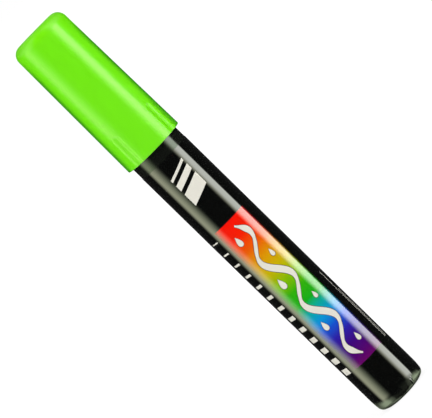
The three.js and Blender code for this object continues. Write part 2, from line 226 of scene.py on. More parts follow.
def handlingMarksGroup():
    # a few hair-fine scuffs and specks of dust
    p = marksPattern
    tree, given, result = newGroup(
        "handlingMarks",
        [
            ("Vector", "NodeSocketVector", None),
            ("Scuffs", "NodeSocketFloat", 0.5),
            ("Dust", "NodeSocketFloat", 0.5),
        ],
        ["Scuff", "Speck"],
    )
    turned = addNode(
        tree,
        "ShaderNodeMapping",
        {"Vector": given["Vector"], "Rotation": p["scuffTurn"], "Scale": p["scuffStretch"]},
    ).outputs[0]
    lines = speckle(tree, turned, p["scuffScale"], 4.0, 0.7)
    patches = ease(tree, speckle(tree, given["Vector"], p["patchScale"]), *p["patchRange"])
    scuff = maths(tree, "MULTIPLY", ease(tree, lines, *p["scuffRange"]), patches)
    inputs = {"Vector": given["Vector"], "Scale": p["speckScale"]}
    cells = addNode(tree, "ShaderNodeTexVoronoi", inputs, feature="F1").outputs["Distance"]
    rare = speckle(tree, given["Vector"], p["rareScale"], 0.0)
    rare = ease(tree, rare, *p["rareRange"])
    speck = maths(tree, "MULTIPLY", ease(tree, cells, *p["speckSize"]), rare)
    tree.links.new(maths(tree, "MULTIPLY", scuff, given["Scuffs"]), result["Scuff"])
    tree.links.new(maths(tree, "MULTIPLY", speck, given["Dust"]), result["Speck"])
    return tree


markerPlace = markerPlaceGroup()
mouldedSkin = mouldedSkinGroup()
handlingMarks = handlingMarksGroup()


def plainName(socket):
    # a socket's name as calls here give it: Grain Size is grainSize
    return socket.name[0].lower() + socket.name[1:].replace(" ", "")


def placeGroup(tree, group, **inputs):
    node = tree.nodes.new("ShaderNodeGroup")
    node.node_tree = group
    for socket in node.inputs:
        key = plainName(socket)
        if key in inputs:
            if isinstance(inputs[key], bpy.types.NodeSocket):
                tree.links.new(inputs[key], socket)
            else:
                socket.default_value = inputs[key]
    return node.outputs


def newMaterial(name, **constants):
    # constants are values of the shader's own sockets
    material = bpy.data.materials.new(name)
    material.use_nodes = True
    tree = material.node_tree
    shader = tree.nodes["Principled BSDF"]
    for socket in shader.inputs:
        if plainName(socket) in constants:
            socket.default_value = constants[plainName(socket)]
    coords = tree.nodes.new("ShaderNodeTexCoord").outputs["Object"]
    return material, tree, shader.inputs, coords


def reliefInto(tree, sockets, height, distance):
    inputs = {"Height": height, "Distance": distance * mm, "Strength": 1.0}
    tree.links.new(addNode(tree, "ShaderNodeBump", inputs).outputs[0], sockets["Normal"])


def skinFrom(tree, coords, look):
    return placeGroup(
        tree,
        mouldedSkin,
        vector=coords,
        grainSize=look["grain"],
        grainDepth=look["grainDepth"],
        peelDepth=look["peelDepth"],
        roughness=look["roughness"],
        roughnessSpread=look["spread"],
    )


def wearOver(tree, sockets, coords, look, tone, skin, scuffRoughness=0.25):
    # dust on the tone and scuffs in the gloss
    marks = placeGroup(tree, handlingMarks, vector=coords, scuffs=look["scuffs"], dust=look["dust"])
    tone = blendColour(tree, marks["Speck"], tone, look["dustTone"])
    tree.links.new(tone, sockets["Base Color"])
    scuffs = maths(tree, "MULTIPLY", marks["Scuff"], scuffRoughness)
    tree.links.new(maths(tree, "ADD", skin["Roughness"], scuffs), sockets["Roughness"])


def mouldedPlastic(name, look):
    # plain moulded plastic or rubber: two near tones, skin, and faint marks
    material, tree, sockets, coords = newMaterial(
        name,
        specularIORLevel=look.get("gloss", 0.5),
        specularTint=look.get("glossTint", (1.0, 1.0, 1.0, 1.0)),
    )
    skin = skinFrom(tree, coords, look)
    tone = blendColour(tree, skin["Cloud"], look["tone"], look["secondTone"])
    wearOver(tree, sockets, coords, look, tone, skin)
    reliefInto(tree, sockets, skin["Height"], look["relief"])
    return material, tree, sockets, coords


# in every look, grain is the size of the grain in millimetres, relief is how far the depths
# reach in millimetres, and spread is how much the roughness varies
capLook = {
    "tone": srgb(112, 234, 2),
    "secondTone": srgb(116, 237, 3),
    # painted light on the end: its lighter tone, how far below the end it fades, and its most
    "endTone": srgb(136, 240, 12),
    "endFade": (4.5, 0.5),
    "endShare": 0.3,
    # painted shade at the outline: the deeper tone at a slant, how steep, and how far below the end
    # it sets in
    "slantTone": srgb(50, 160, 3),
    "slantFade": (0.41, 0.84),
    "slantStart": (0.5, 12.5),
    "gloss": 0.85,
    "glossTint": (1.0, 0.4, 0.75, 1.0),
    "dustTone": srgb(170, 245, 110),
    "grain": 0.1,
    "grainDepth": 0.12,
    "peelDepth": 1.0,
    "relief": 0.006,
    "roughness": 0.27,
    "spread": 0.04,
    "scuffs": 0.35,
    "dust": 0.25,
}
barrelLook = {
    "tone": srgb(15, 17, 14),
    "secondTone": srgb(19, 21, 18),
    "gloss": 0.7,
    "glossTint": (0.87, 1.0, 0.86, 1.0),
    "dustTone": srgb(80, 82, 78),
    "grain": 0.09,
    "grainDepth": 0.2,
    "peelDepth": 0.9,
    "relief": 0.008,
    "roughness": 0.13,
    "spread": 0.05,
    "scuffs": 0.5,
    "dust": 0.4,
}
frontLook = {
    "tone": srgb(26, 28, 29),
    "secondTone": srgb(33, 35, 36),
    "dustTone": srgb(90, 92, 90),
    "grain": 0.16,
    "grainDepth": 0.8,
    "peelDepth": 0.6,
    "relief": 0.02,
    "roughness": 0.36,
    "spread": 0.1,
    "scuffs": 0.6,
    "dust": 0.4,
}
holderLook = {
    "tone": srgb(233, 232, 224),
    "secondTone": srgb(224, 224, 214),
    "dustTone": srgb(190, 190, 182),
    "grain": 0.12,
    "grainDepth": 0.5,
    "peelDepth": 0.8,
    "relief": 0.015,
    "roughness": 0.38,
    "spread": 0.08,
    "scuffs": 0.4,
    "dust": 0.3,
}
sealLook = {
    "tone": srgb(232, 235, 228),
    "secondTone": srgb(218, 223, 214),
    "dustTone": srgb(190, 194, 186),
    "grain": 0.2,
    "grainDepth": 0.4,
    "peelDepth": 1.0,
    "relief": 0.02,
    "roughness": 0.42,
    "spread": 0.1,
    "scuffs": 0.3,
    "dust": 0.2,
}
valveLook = {
    "tone": srgb(228, 226, 214),
    "secondTone": srgb(217, 214, 200),
    "dustTone": srgb(180, 177, 165),
    "grain": 0.1,
    "grainDepth": 0.4,
    "peelDepth": 0.8,
    "relief": 0.014,
    "roughness": 0.34,
    "spread": 0.1,
    "scuffs": 0.3,
    "dust": 0.2,
}
rubberLook = {
    "tone": srgb(40, 40, 42),
    "secondTone": srgb(52, 52, 54),
    "gloss": 0.3,
    "dustTone": srgb(120, 118, 114),
    "grain": 0.07,
    "grainDepth": 1.0,
    "peelDepth": 0.5,
    "relief": 0.02,
    "roughness": 0.66,
    "spread": 0.15,
    "scuffs": 0.2,
    "dust": 0.6,
}


def capMaterial():
    # painted light: the closed end is painted a little lighter than the wall
    look = capLook
    material, tree, sockets, coords = mouldedPlastic("capPlastic", look)
    place = placeGroup(tree, markerPlace, vector=coords)
    below = maths(tree, "SUBTRACT", capEndLevel, place["Level"])
    tone = sockets["Base Color"].links[0].from_socket
    share = ease(tree, below, *look["endFade"], 0.0, look["endShare"])
    tone = blendColour(tree, share, tone, look["endTone"])
    # painted shade: the green is painted deeper where the wall is seen at a slant, towards its
    # outline
    facing = addNode(tree, "ShaderNodeLayerWeight", {"Blend": 0.5}).outputs["Facing"]
    slant = ease(tree, facing, *look["slantFade"])
    slant = maths(tree, "MULTIPLY", slant, ease(tree, below, *look["slantStart"]))
    tone = blendColour(tree, slant, tone, look["slantTone"])
    tree.links.new(tone, sockets["Base Color"])
    return material


labelLook = {
    "panelTop": 67.9,
    "panelBottom": 14.6,
    # degrees from the label's middle, where the panel ends and where it is full
    "panelRight": (43.5, 35.0),
    "panelLeft": (-43.0, -25.0),
    "edgeFade": 0.25,
    "black": srgb(6, 7, 6),
    "light": srgb(236, 233, 222),
    "secondLight": srgb(230, 227, 215),
    "keyline": srgb(66, 20, 12),
    "secondKeyline": srgb(52, 16, 18),
    # share of the way down the panel, and the colour there
    "spectrum": [
        (0.0, srgb(252, 16, 2)),
        (0.1, srgb(250, 32, 0)),
        (0.18, srgb(240, 92, 0)),
        (0.25, srgb(226, 150, 0)),
        (0.33, srgb(205, 180, 0)),
        (0.41, srgb(140, 190, 0)),
        (0.49, srgb(50, 182, 6)),
        (0.57, srgb(18, 176, 24)),
        (0.63, srgb(4, 172, 170)),
        (0.69, srgb(4, 150, 220)),
        (0.75, srgb(18, 82, 212)),
        (0.81, srgb(44, 30, 172)),
        (0.88, srgb(62, 2, 128)),
        (0.95, srgb(84, 0, 112)),
        (1.0, srgb(104, 2, 100)),
    ],
}
filmLook = {
    "dustTone": srgb(120, 120, 116),
    "grain": 0.2,
    "grainDepth": 0.1,
    "peelDepth": 1.0,
    "relief": 0.01,
    "roughness": 0.07,
    "spread": 0.04,
    "coatRoughness": 0.03,
    "scuffs": 0.5,
    "dust": 0.35,
    "scuffRoughness": 0.2,
    "waveScale": 900.0,
    "waveStretch": (0.5, 0.5, 0.12),
    "waveDepth": 1.2,
}
inkLook = {
    "grain": 0.15,
    "grainDepth": 0.4,
    "peelDepth": 0.6,
    "relief": 0.008,
    "roughness": 0.3,
    "spread": 0.08,
    "coatRoughness": 0.06,
}


def coatedMaterial(name, look):
    return newMaterial(
        name,
        specularIORLevel=0.5,
        coatWeight=1.0,
        coatRoughness=look["coatRoughness"],
        coatIOR=1.5,
    )


def filmMaterial():
    material, tree, sockets, coords = coatedMaterial("labelFilm", filmLook)
    look = labelLook
    place = placeGroup(tree, markerPlace, vector=coords)
    length = look["panelTop"] - look["panelBottom"]
    down = maths(tree, "DIVIDE", maths(tree, "SUBTRACT", look["panelTop"], place["Level"]), length)
    ramp = addNode(tree, "ShaderNodeValToRGB", {0: down})
    stops = ramp.color_ramp.elements
    while len(stops) < len(look["spectrum"]):
        stops.new(0.5)
    for stop, (position, colour) in zip(stops, look["spectrum"]):
        stop.position = position
        stop.color = colour
    aside = maths(tree, "SUBTRACT", place["Angle"], faceTurn)
    top, bottom, fade = look["panelTop"], look["panelBottom"], look["edgeFade"]
    inside = ease(tree, aside, *look["panelRight"])
    for value, outer, inner in (
        (aside, *look["panelLeft"]),
        (place["Level"], top, top - fade),
        (place["Level"], bottom, bottom + fade),
    ):
        inside = maths(tree, "MULTIPLY", inside, ease(tree, value, outer, inner))
    tone = blendColour(tree, inside, look["black"], ramp.outputs["Color"])
    look = filmLook
    skin = skinFrom(tree, coords, look)
    wearOver(tree, sockets, coords, look, tone, skin, look["scuffRoughness"])
    # shrunk film draws fine waves across its length
    waves = speckle(tree, coords, look["waveScale"], 2.0, 0.5, look["waveStretch"])
    waves = maths(tree, "MULTIPLY", waves, look["waveDepth"])
    reliefInto(tree, sockets, maths(tree, "ADD", skin["Height"], waves), look["relief"])
    return material


def inkMaterial(name, colour, secondColour):
    material, tree, sockets, coords = coatedMaterial(name, inkLook)
    skin = skinFrom(tree, coords, inkLook)
    tree.links.new(blendColour(tree, skin["Cloud"], colour, secondColour), sockets["Base Color"])
    tree.links.new(skin["Roughness"], sockets["Roughness"])
    reliefInto(tree, sockets, skin["Height"], inkLook["relief"])
    return material


feltLook = {
    "shade": srgb(214, 211, 198),
    "light": srgb(250, 248, 240),
    "tuftTone": srgb(229, 226, 214),
    "tuftShare": 0.5,
    "fibreScale": 5200.0,
    "fibreStretch": (1.0, 1.0, 0.12),
    "tuftScale": 1500.0,
    "tuftStretch": (1.0, 1.0, 0.4),
    "tuftDepth": 0.8,
    "roughness": (0.84, 0.98),
    "relief": 0.06,
}


def feltMaterial():
    # pressed fibres that run along the nib
    material, tree, sockets, coords = newMaterial("nibFelt", specularIORLevel=0.2, sheenWeight=0.25)
    look = feltLook
    fibres = speckle(tree, coords, look["fibreScale"], 3.0, 0.65, look["fibreStretch"])
    tufts = speckle(tree, coords, look["tuftScale"], 2.0, 0.5, look["tuftStretch"])
    tone = blendColour(tree, fibres, look["shade"], look["light"])
    share = ease(tree, tufts, 0.35, 0.75, 0.0, look["tuftShare"])
    tree.links.new(blendColour(tree, share, tone, look["tuftTone"]), sockets["Base Color"])
    tree.links.new(ease(tree, fibres, 0.2, 0.8, *look["roughness"]), sockets["Roughness"])
    height = maths(tree, "ADD", fibres, maths(tree, "MULTIPLY", tufts, look["tuftDepth"]))
    reliefInto(tree, sockets, height, look["relief"])
    return material


steelLook = {
    "lineScale": 4200.0,
    "lineStretch": (1.0, 1.0, 6.0),
    "cloudScale": 700.0,
    "shadeShare": 0.82,
    "cloudRoughness": 0.06,
    "lineRoughness": 0.1,
    "relief": 0.006,
}
# tone, roughness, and how much the metal's fine lines show
springLook = (srgb(196, 199, 203), 0.2, 1.0)
ballLook = (srgb(205, 208, 211), 0.06, 0.15)


def steelMaterial(name, tone, roughness, drawn):
    material, tree, sockets, coords = newMaterial(name, metallic=1.0)
    look = steelLook
    lines = speckle(tree, coords, look["lineScale"], 3.0, 0.7, look["lineStretch"])
    clouds = speckle(tree, coords, look["cloudScale"], 2.0)
    shade = tuple(value * look["shadeShare"] for value in tone[:3]) + (1.0,)
    tree.links.new(blendColour(tree, lines, shade, tone), sockets["Base Color"])
    clouds = maths(tree, "MULTIPLY", clouds, look["cloudRoughness"])
    rough = maths(tree, "ADD", roughness, clouds)
    drawnLines = maths(tree, "MULTIPLY", lines, drawn * look["lineRoughness"])
    tree.links.new(maths(tree, "ADD", rough, drawnLines), sockets["Roughness"])
    reliefInto(tree, sockets, lines, look["relief"] * drawn)
    return material


finishes = {
    "cap": capMaterial(),
    "barrel": mouldedPlastic("barrelPlastic", barrelLook)[0],
    "film": filmMaterial(),
    "light": inkMaterial("lightInk", labelLook["light"], labelLook["secondLight"]),
    "keyline": inkMaterial("keylineInk", labelLook["keyline"], labelLook["secondKeyline"]),
    "front": mouldedPlastic("frontPlastic", frontLook)[0],
    "holder": mouldedPlastic("holderPlastic", holderLook)[0],
    "seal": mouldedPlastic("sealPlastic", sealLook)[0],
    "valve": mouldedPlastic("valvePlastic", valveLook)[0],
    "rubber": mouldedPlastic("sealRubber", rubberLook)[0],
    "felt": feltMaterial(),
    "spring": steelMaterial("springSteel", *springLook),
    "ball": steelMaterial("ballSteel", *ballLook),
}
print("materials made:", len(finishes))


def outline(bm, corners, closed):
    # corners are radius, level and, where rounded, the round's radius and segments
    points = [bm.verts.new((corner[0], 0, corner[1])) for corner in corners]
    for first, second in zip(points, points[1:]):
        bm.edges.new((first, second))
    if closed:
        bm.edges.new((points[-1], points[0]))
    places = [Vector((corner[0], corner[1])) for corner in corners]
    for index, corner in enumerate(corners):
        if len(corner) < 3:
            continue
        back = places[index - 1] - places[index]
        ahead = places[(index + 1) % len(corners)] - places[index]
        opening = back.angle(ahead)
        cut = min(corner[2] / math.tan(opening / 2), 0.98 * back.length, 0.98 * ahead.length)
        bmesh.ops.bevel(
            bm,
            geom=[points[index]],
            offset=cut,
            offset_type="OFFSET",
            affect="VERTICES",
            segments=corner[3],
            profile=0.5,
            material=-1,
            clamp_overlap=False,
        )


def spinRound(bm, steps, sectors=16):
    # an outline makes one sector, and copies of that go round
    sector = 2 * math.pi / sectors
    bmesh.ops.spin(
        bm,
        geom=bm.verts[:] + bm.edges[:],
        cent=origin,
        axis=axisUp,
        angle=sector,
        steps=steps // sectors,
    )
    bmesh.ops.spin(
        bm,
        geom=bm.verts[:] + bm.edges[:] + bm.faces[:],
        cent=origin,
        axis=axisUp,
        angle=sector * (sectors - 1),
        steps=sectors - 1,
        use_duplicate=True,
    )
    bmesh.ops.remove_doubles(bm, verts=bm.verts, dist=1e-4)
    bmesh.ops.recalc_face_normals(bm, faces=bm.faces)


def turned(corners, steps, closed=False):
    # an outline turned round the marker's axis; an open one starts and ends on the axis
    bm = bmesh.new()
    outline(bm, corners, closed)
    spinRound(bm, steps)
    return bm


def ladder(first, second, count):
    # points between two corners, for rows of faces that a later step moves
    out, up = second[0] - first[0], second[1] - first[1]
    return [
        (first[0] + out * step / count, first[1] + up * step / count)
        for step in range(1, count)
    ]


def angleAt(point):
    # degrees round the marker from its front
    return math.degrees(math.atan2(point.x, -point.y))


def apart(first, second):
    # degrees from the second angle to the first, the short way round
    return (first - second + 180) % 360 - 180


def pushOut(vert, rise):
    # moves a vertex straight away from the marker's axis
    radius = math.hypot(vert.co.x, vert.co.y)
    if radius > 1e-6:
        vert.co.x *= (radius + rise) / radius
        vert.co.y *= (radius + rise) / radius


def objectFrom(bm, name):
    # takes over the shape and frees it
    mesh = bpy.data.meshes.new(name)
    bm.to_mesh(mesh)
    bm.free()
    made = bpy.data.objects.new(name, mesh)
    bpy.context.scene.collection.objects.link(made)
    return made


def shapeOf(thing):
    # the shape of an object with its modifiers
    graph = bpy.context.evaluated_depsgraph_get()
    mesh = bpy.data.meshes.new_from_object(thing.evaluated_get(graph))
    bm = bmesh.new()
    bm.from_mesh(mesh)
    bpy.data.meshes.remove(mesh)
    return bm


def finishPiece(bm, name, body, finish, replaced=(), sharp=32):
    bmesh.ops.scale(bm, vec=(mm, mm, mm), verts=bm.verts)
    piece = objectFrom(bm, name)
    piece.data.shade_smooth()
    piece.data.set_sharp_from_angle(angle=math.radians(sharp))
    piece.data.materials.append(finishes[finish])
    # wide faces keep their own shading beside narrow ones
    piece.modifiers.new("evenShading", "WEIGHTED_NORMAL").keep_sharp = True
    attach(piece, body)
    if replaced:
        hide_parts(*replaced)
    return piece


capSizes = {
    "rimRadius": 9.45,
    "endRadius": 8.9,
    "rimBore": 8.35,
    "endBore": 7.8,
    "endWall": 1.3,
    "endRound": 3.0,
    "rimRound": 0.2,
    "beadLevel": 3.6,
    "beadWidth": 1.4,
    "beadRise": 0.12,
    "gateRadius": 1.5,
    "gateDepth": 0.18,
    "gateNub": 0.45,
    "ribAngle": 45,
    # the cap went on a little turned
    "ribTurn": 3.6,
    "ribLength": 10.4,
    # distance outwards from the rib's middle and height: wall, groove, crest, wall
    "ribProfile": ((-1.8, 0.0), (-0.6, -0.21), (1.15, 0.09), (2.8, 0.0)),
    # the rib's upper end is an arc that fades out, and the rim's inside stays as it is
    "ribArc": 0.25,
    "ribFade": 0.9,
    "ribInside": 0.45,
    # rows of faces lie close from above the rib's end to below it, and at the ribs
    "rowsAbove": 0.3,
    "rowsHeight": 2.4,
    "gathering": 0.7,
    "steps": 480,
}


def ribHeight(across):
    profile = capSizes["ribProfile"]
    for first, second in zip(profile, profile[1:]):
        if first[0] <= across < second[0]:
            return first[1] + (second[1] - first[1]) * smooth(across, first[0], second[0])
    return 0


def ribRise(point):
    # how far the wall stands out: four ribs, each a crest with a groove beside it that faces
    # the front or the back
    s = capSizes
    up = point.z - rimLevel
    turn = abs(angleAt(point) - s["ribTurn"])
    across = math.radians(min(turn, abs(180 - turn)) - s["ribAngle"]) * s["rimRadius"]
    along = smooth(up + s["ribArc"] * across ** 2, s["ribLength"], s["ribLength"] - s["ribFade"])
    radius = math.hypot(point.x, point.y)
    inside, outside = s["rimBore"] + s["ribInside"], s["rimRadius"] - s["rimRound"] - 0.05
    return ribHeight(across) * along * smooth(radius, inside, outside)


def gatherSteps(bm):
    # moves the rows of faces round so that they lie closest at the ribs
    s = capSizes
    middle = math.radians(s["ribAngle"] + s["ribTurn"])
    for vert in bm.verts:
        radius = math.hypot(vert.co.x, vert.co.y)
        turn = math.radians(angleAt(vert.co))
        turn -= s["gathering"] / 4 * math.sin(4 * (turn - middle))
        vert.co.x, vert.co.y = radius * math.sin(turn), -radius * math.cos(turn)


def capShell():
    s = capSizes
    end = capEndLevel
    rowsTop = rimLevel + s["ribLength"] + s["rowsAbove"]
    rowsLow = rowsTop - s["rowsHeight"]
    slope = (s["rimRadius"] - s["endRadius"]) / (end - rimLevel)

    def wall(level):
        return (s["rimRadius"] - slope * (level - rimLevel), level)

    def bore(level):
        share = (level - rimLevel) / (end - s["endWall"] - rimLevel)
        return s["rimBore"] + (s["endBore"] - s["rimBore"]) * share

    beadLevel = rimLevel + s["beadLevel"]
    half = s["beadWidth"] / 2
    corners = [
        (0, end - s["gateDepth"] + 0.08),
        (s["gateNub"], end - s["gateDepth"] + 0.08, 0.06, 3),
        (s["gateNub"] + 0.06, end - s["gateDepth"], 0.04, 2),
        (s["gateRadius"] - 0.1, end - s["gateDepth"], 0.08, 3),
        (s["gateRadius"], end, 0.08, 3),
        (3.6, end),
        (s["endRadius"], end, s["endRound"], 14),
        *ladder(wall(end - s["endRound"]), wall(rowsTop), 8),
        wall(rowsTop),
        *ladder(wall(rowsTop), wall(rowsLow), 24),
        wall(rowsLow),
        *ladder(wall(rowsLow), wall(rimLevel), 7),
        (s["rimRadius"], rimLevel, s["rimRound"], 4),
        (s["rimBore"], rimLevel, s["rimRound"], 3),
        (bore(beadLevel - half), beadLevel - half),
        (bore(beadLevel) - s["beadRise"], beadLevel, 0.8, 3),
        (bore(beadLevel + half), beadLevel + half),
        (s["endBore"], end - s["endWall"], 1.0, 5),
        (0, end - s["endWall"]),
    ]
    bm = turned(corners, s["steps"])
    gatherSteps(bm)
    for vert in bm.verts:
        pushOut(vert, ribRise(vert.co))
    finishPiece(bm, "capShell", "cap", "cap", ["cap_shell"], 40)


capSealSizes = {
    "lipInner": 6.8,
    "skirtInner": 7.0,
    "skirtOuter": 7.6,
    "bandRadius": 7.75,
    "lipHeight": 2.2,
    "bandHeight": 5.5,
    "topThickness": 1.0,
    "topRound": 1.0,
    "innerRound": 0.8,
    "steps": 160,
}


def capSeal():
    s = capSealSizes
    low, top = span("cap_seal")
    band = top - s["bandHeight"]
    corners = [
        (0, top),
        (s["bandRadius"], top, s["topRound"], 8),
        (s["bandRadius"], band, 0.1, 2),
        (s["skirtOuter"], band - 0.3, 0.1, 2),
        (s["skirtOuter"], low, 0.15, 3),
        (s["lipInner"], low, 0.25, 4),
        (s["lipInner"], low + s["lipHeight"] - 0.2, 0.2, 3),
        (s["skirtInner"], low + s["lipHeight"], 0.1, 2),
        (s["skirtInner"], top - s["topThickness"], s["innerRound"], 6),
        (0, top - s["topThickness"]),
    ]
    finishPiece(turned(corners, s["steps"]), "capSeal", "cap", "seal", ["cap_seal"])


barrelSizes = {
    "radius": 8.1,
    "bore": 6.7,
    "tailThickness": 2.2,
    "tailRound": 1.55,
    "reservoirRound": 1.2,
    # where the wall starts to draw in, where it goes on at one slope, and how far in it is there
    "taperTop": 4.8,
    "taperLow": 1.7,
    "taper": 0.2,
    "dishRadius": 2.6,
    "dishDepth": 0.22,
    "neckStart": 1.5,
    "neckStep": 0.15,
    "beadLevel": 6.5,
    "beadWidth": 1.2,
    "beadRise": 0.12,
    "mouthBore": 7.25,
    "mouthDepth": 12.5,
    "mouthRound": 0.3,
    "snapDepth": 2.2,
    "snapWidth": 1.2,
    "snapRise": 0.2,
    "steps": 256,
}


def tailTaper(level):
    # how far the wall draws in towards the tail
    s = barrelSizes
    share = max((s["taperTop"] - level) / (s["taperTop"] - s["taperLow"]), 0)
    return s["taper"] * (share ** 2 if share < 1 else 2 * share - 1)


def barrelBody():
    s = barrelSizes
    neck = s["radius"] - s["neckStep"]
    neckLevel = rimLevel + s["neckStart"]
    bead = rimLevel + s["beadLevel"]
    snap = mouthLevel - s["snapDepth"]
    ledge = mouthLevel - s["mouthDepth"]
    corners = [
        (0, s["dishDepth"]),
        (s["dishRadius"] - 0.3, s["dishDepth"], 0.2, 3),
        (s["dishRadius"], 0, 0.15, 3),
        (s["radius"], 0, s["tailRound"], 12),
        *ladder((s["radius"], s["taperLow"]), (s["radius"], s["taperTop"] + 0.4), 12),
        (s["radius"], neckLevel, 0.1, 2),
        (neck, neckLevel + s["neckStep"], 0.1, 2),
        (neck, bead - s["beadWidth"] / 2),
        (neck + s["beadRise"], bead, 1.0, 4),
        (neck, bead + s["beadWidth"] / 2),
        (neck, mouthLevel, s["mouthRound"], 4),
        (s["mouthBore"], mouthLevel),
        (s["mouthBore"], snap + s["snapWidth"] / 2),
        (s["mouthBore"] + s["snapRise"], snap),
        (s["mouthBore"], snap - s["snapWidth"] / 2),
        (s["mouthBore"], ledge),
        (s["bore"], ledge),
        (s["bore"], s["tailThickness"], s["reservoirRound"], 6),
        (0, s["tailThickness"]),
    ]
    bm = turned(corners, s["steps"])
    for vert in bm.verts:
        # the outside, which under the tail reaches in as far as the dish
        least = s["dishRadius"] if vert.co.z < s["tailThickness"] / 2 else s["bore"]
        if math.hypot(vert.co.x, vert.co.y) > least + 0.3:
            pushOut(vert, -tailTaper(vert.co.z))
    finishPiece(bm, "barrelBody", "marker_body", "barrel", ["barrel"])


filmSizes = {
    "inner": 8.12,
    "outer": 8.18,
    "wrapLevel": 0.42,
    "foldTop": 5.2,
    "crinkleTop": 3.4,
    "crinkleRise": 0.05,
    # crinkles round the marker and their start in radians, and the same for their patches
    "crinkleWaves": ((19, 0.7), (31, 2.1)),
    "patchWave": (3, 1.2),
    "patchLeast": 0.35,
    # angle, rise, half width and upper end of each pleat
    "pleats": ((27.0, 0.15, 0.4, 2.4), (31.5, 0.07, 0.26, 2.9)),
    "pleatFade": 1.1,
    "seamAngle": 180.0,
    "seamWidth": 1.7,
    "seamRise": 0.035,
    "seamFade": 0.12,
    "steps": 480,
}


def filmRise(point):
    # crinkles and pleats where the film shrinks over the tail's round, and the seam at the back
    s = filmSizes
    angle = angleAt(point)
    around = math.radians(angle)
    folds = 0.5
    for count, start in s["crinkleWaves"]:
        folds += 0.25 * math.sin(count * around + start)
    count, start = s["patchWave"]
    patch = 0.5 + 0.5 * math.sin(count * around + start)
    patch = s["patchLeast"] + (1 - s["patchLeast"]) * patch
    low = smooth(point.z, s["crinkleTop"], s["wrapLevel"] + 0.3)
    rise = s["crinkleRise"] * folds * patch * low - tailTaper(point.z)
    for turn, pleatRise, half, upper in s["pleats"]:
        aside = abs(math.radians(apart(angle, turn + faceTurn)) * s["outer"])
        along = smooth(point.z, upper, upper - s["pleatFade"])
        rise += pleatRise * smooth(aside, half, 0) * along
    if math.hypot(point.x, point.y) > (s["inner"] + s["outer"]) / 2:
        across = math.radians(apart(angle, s["seamAngle"])) * s["outer"]
        half, fade = s["seamWidth"] / 2, s["seamFade"]
        lap = smooth(across, -half, -half + fade) * smooth(across, half, half - fade)
        rise += s["seamRise"] * lap
    return rise


def labelFilm():
    s = filmSizes
    # it follows the tail's round from a flat piece under it, which is cut off
    tailRound = barrelSizes["tailRound"]
    gap = s["inner"] - barrelSizes["radius"]
    wall = s["outer"] - s["inner"]
    flat = barrelSizes["radius"] - tailRound
    corners = [
        (flat - 1, -gap - wall),
        (s["outer"], -gap - wall, tailRound + gap + wall, 24),
        *ladder((s["outer"], tailRound), (s["outer"], s["foldTop"]), 16),
        *ladder((s["outer"], s["foldTop"]), (s["outer"], filmTopLevel), 10),
        (s["outer"], filmTopLevel, 0.02, 2),
        (s["inner"], filmTopLevel),
        *ladder((s["inner"], filmTopLevel), (s["inner"], s["foldTop"]), 3),
        *ladder((s["inner"], s["foldTop"]), (s["inner"], tailRound), 16),
        (s["inner"], -gap, tailRound + gap, 24),
        (flat - 1, -gap),
    ]
    bm = turned(corners, s["steps"])
    cut = bmesh.ops.bisect_plane(
        bm,
        geom=bm.verts[:] + bm.edges[:] + bm.faces[:],
        plane_co=(0, 0, s["wrapLevel"]),
        plane_no=axisUp,
        clear_inner=True,
    )
    rims = [item for item in cut["geom_cut"] if isinstance(item, bmesh.types.BMEdge)]
    bmesh.ops.bridge_loops(bm, edges=rims)
    bmesh.ops.recalc_face_normals(bm, faces=bm.faces)
    for vert in bm.verts:
        pushOut(vert, filmRise(vert.co))
    finishPiece(bm, "labelFilm", "marker_body", "film", ["label_film"])


inkSizes = {
    "lift": 0.006,
    "thickness": 0.012,
    "keylineThickness": 0.006,
    "stripWidth": 0.3,
    # the long brush wave on the panel
    "waveTop": 65.6,
    "waveBottom": 16.8,
    "waveTurns": 3.0,
    "waveReach": 2.1,
    "waveThin": 0.42,
    "waveThick": 1.0,
    "penAngle": 60.0,
    # the share of the wave that thins out at each end, and the thinnest share of its width
    "waveEnd": 0.06,
    "waveTip": 0.25,
    "waveSteps": 220,
    "keyline": 0.14,
    # drops in the wave's hollows
    "dropSizes": (1.1, 0.85, 1.2, 0.8, 1.05, 0.9),
    "dropReach": 2.15,
    "dropStretch": 1.45,
    "dropLift": 0.2,
    "dropWaist": 1.4,
    "dropSteps": 44,
    # stroke sign: bars of growing width, cut aslant
    "signTop": 88.6,
    "signWidths": (0.8, 1.9, 4.2),
    "signGap": 1.25,
    "signHalf": 3.3,
    "signSlant": 2.4,
    # row of width marks beside the panel
    "rowAngle": -60.5,
    "rowTop": 65.4,
    "rowBottom": 15.6,
    "rowCount": 13,
    "rowHalf": 1.5,
    "rowThin": 0.35,
    "rowThick": 2.0,
    # two hairlines on the other side
    "hairAngle": 63.0,
    "hairTop": 40.0,
    "hairBottom": 14.8,
    "hairWidth": 0.14,
    # how far apart they are, and how much lower the second ends
    "hairShift": 0.7,
    "hairLower": 7,
}


def addOutline(bm, points):
    verts = [bm.verts.new((across, level, 0)) for across, level in points]
    edges = [bm.edges.new((verts[index - 1], verts[index])) for index in range(len(verts))]
    bmesh.ops.triangle_fill(bm, use_beauty=True, edges=edges)


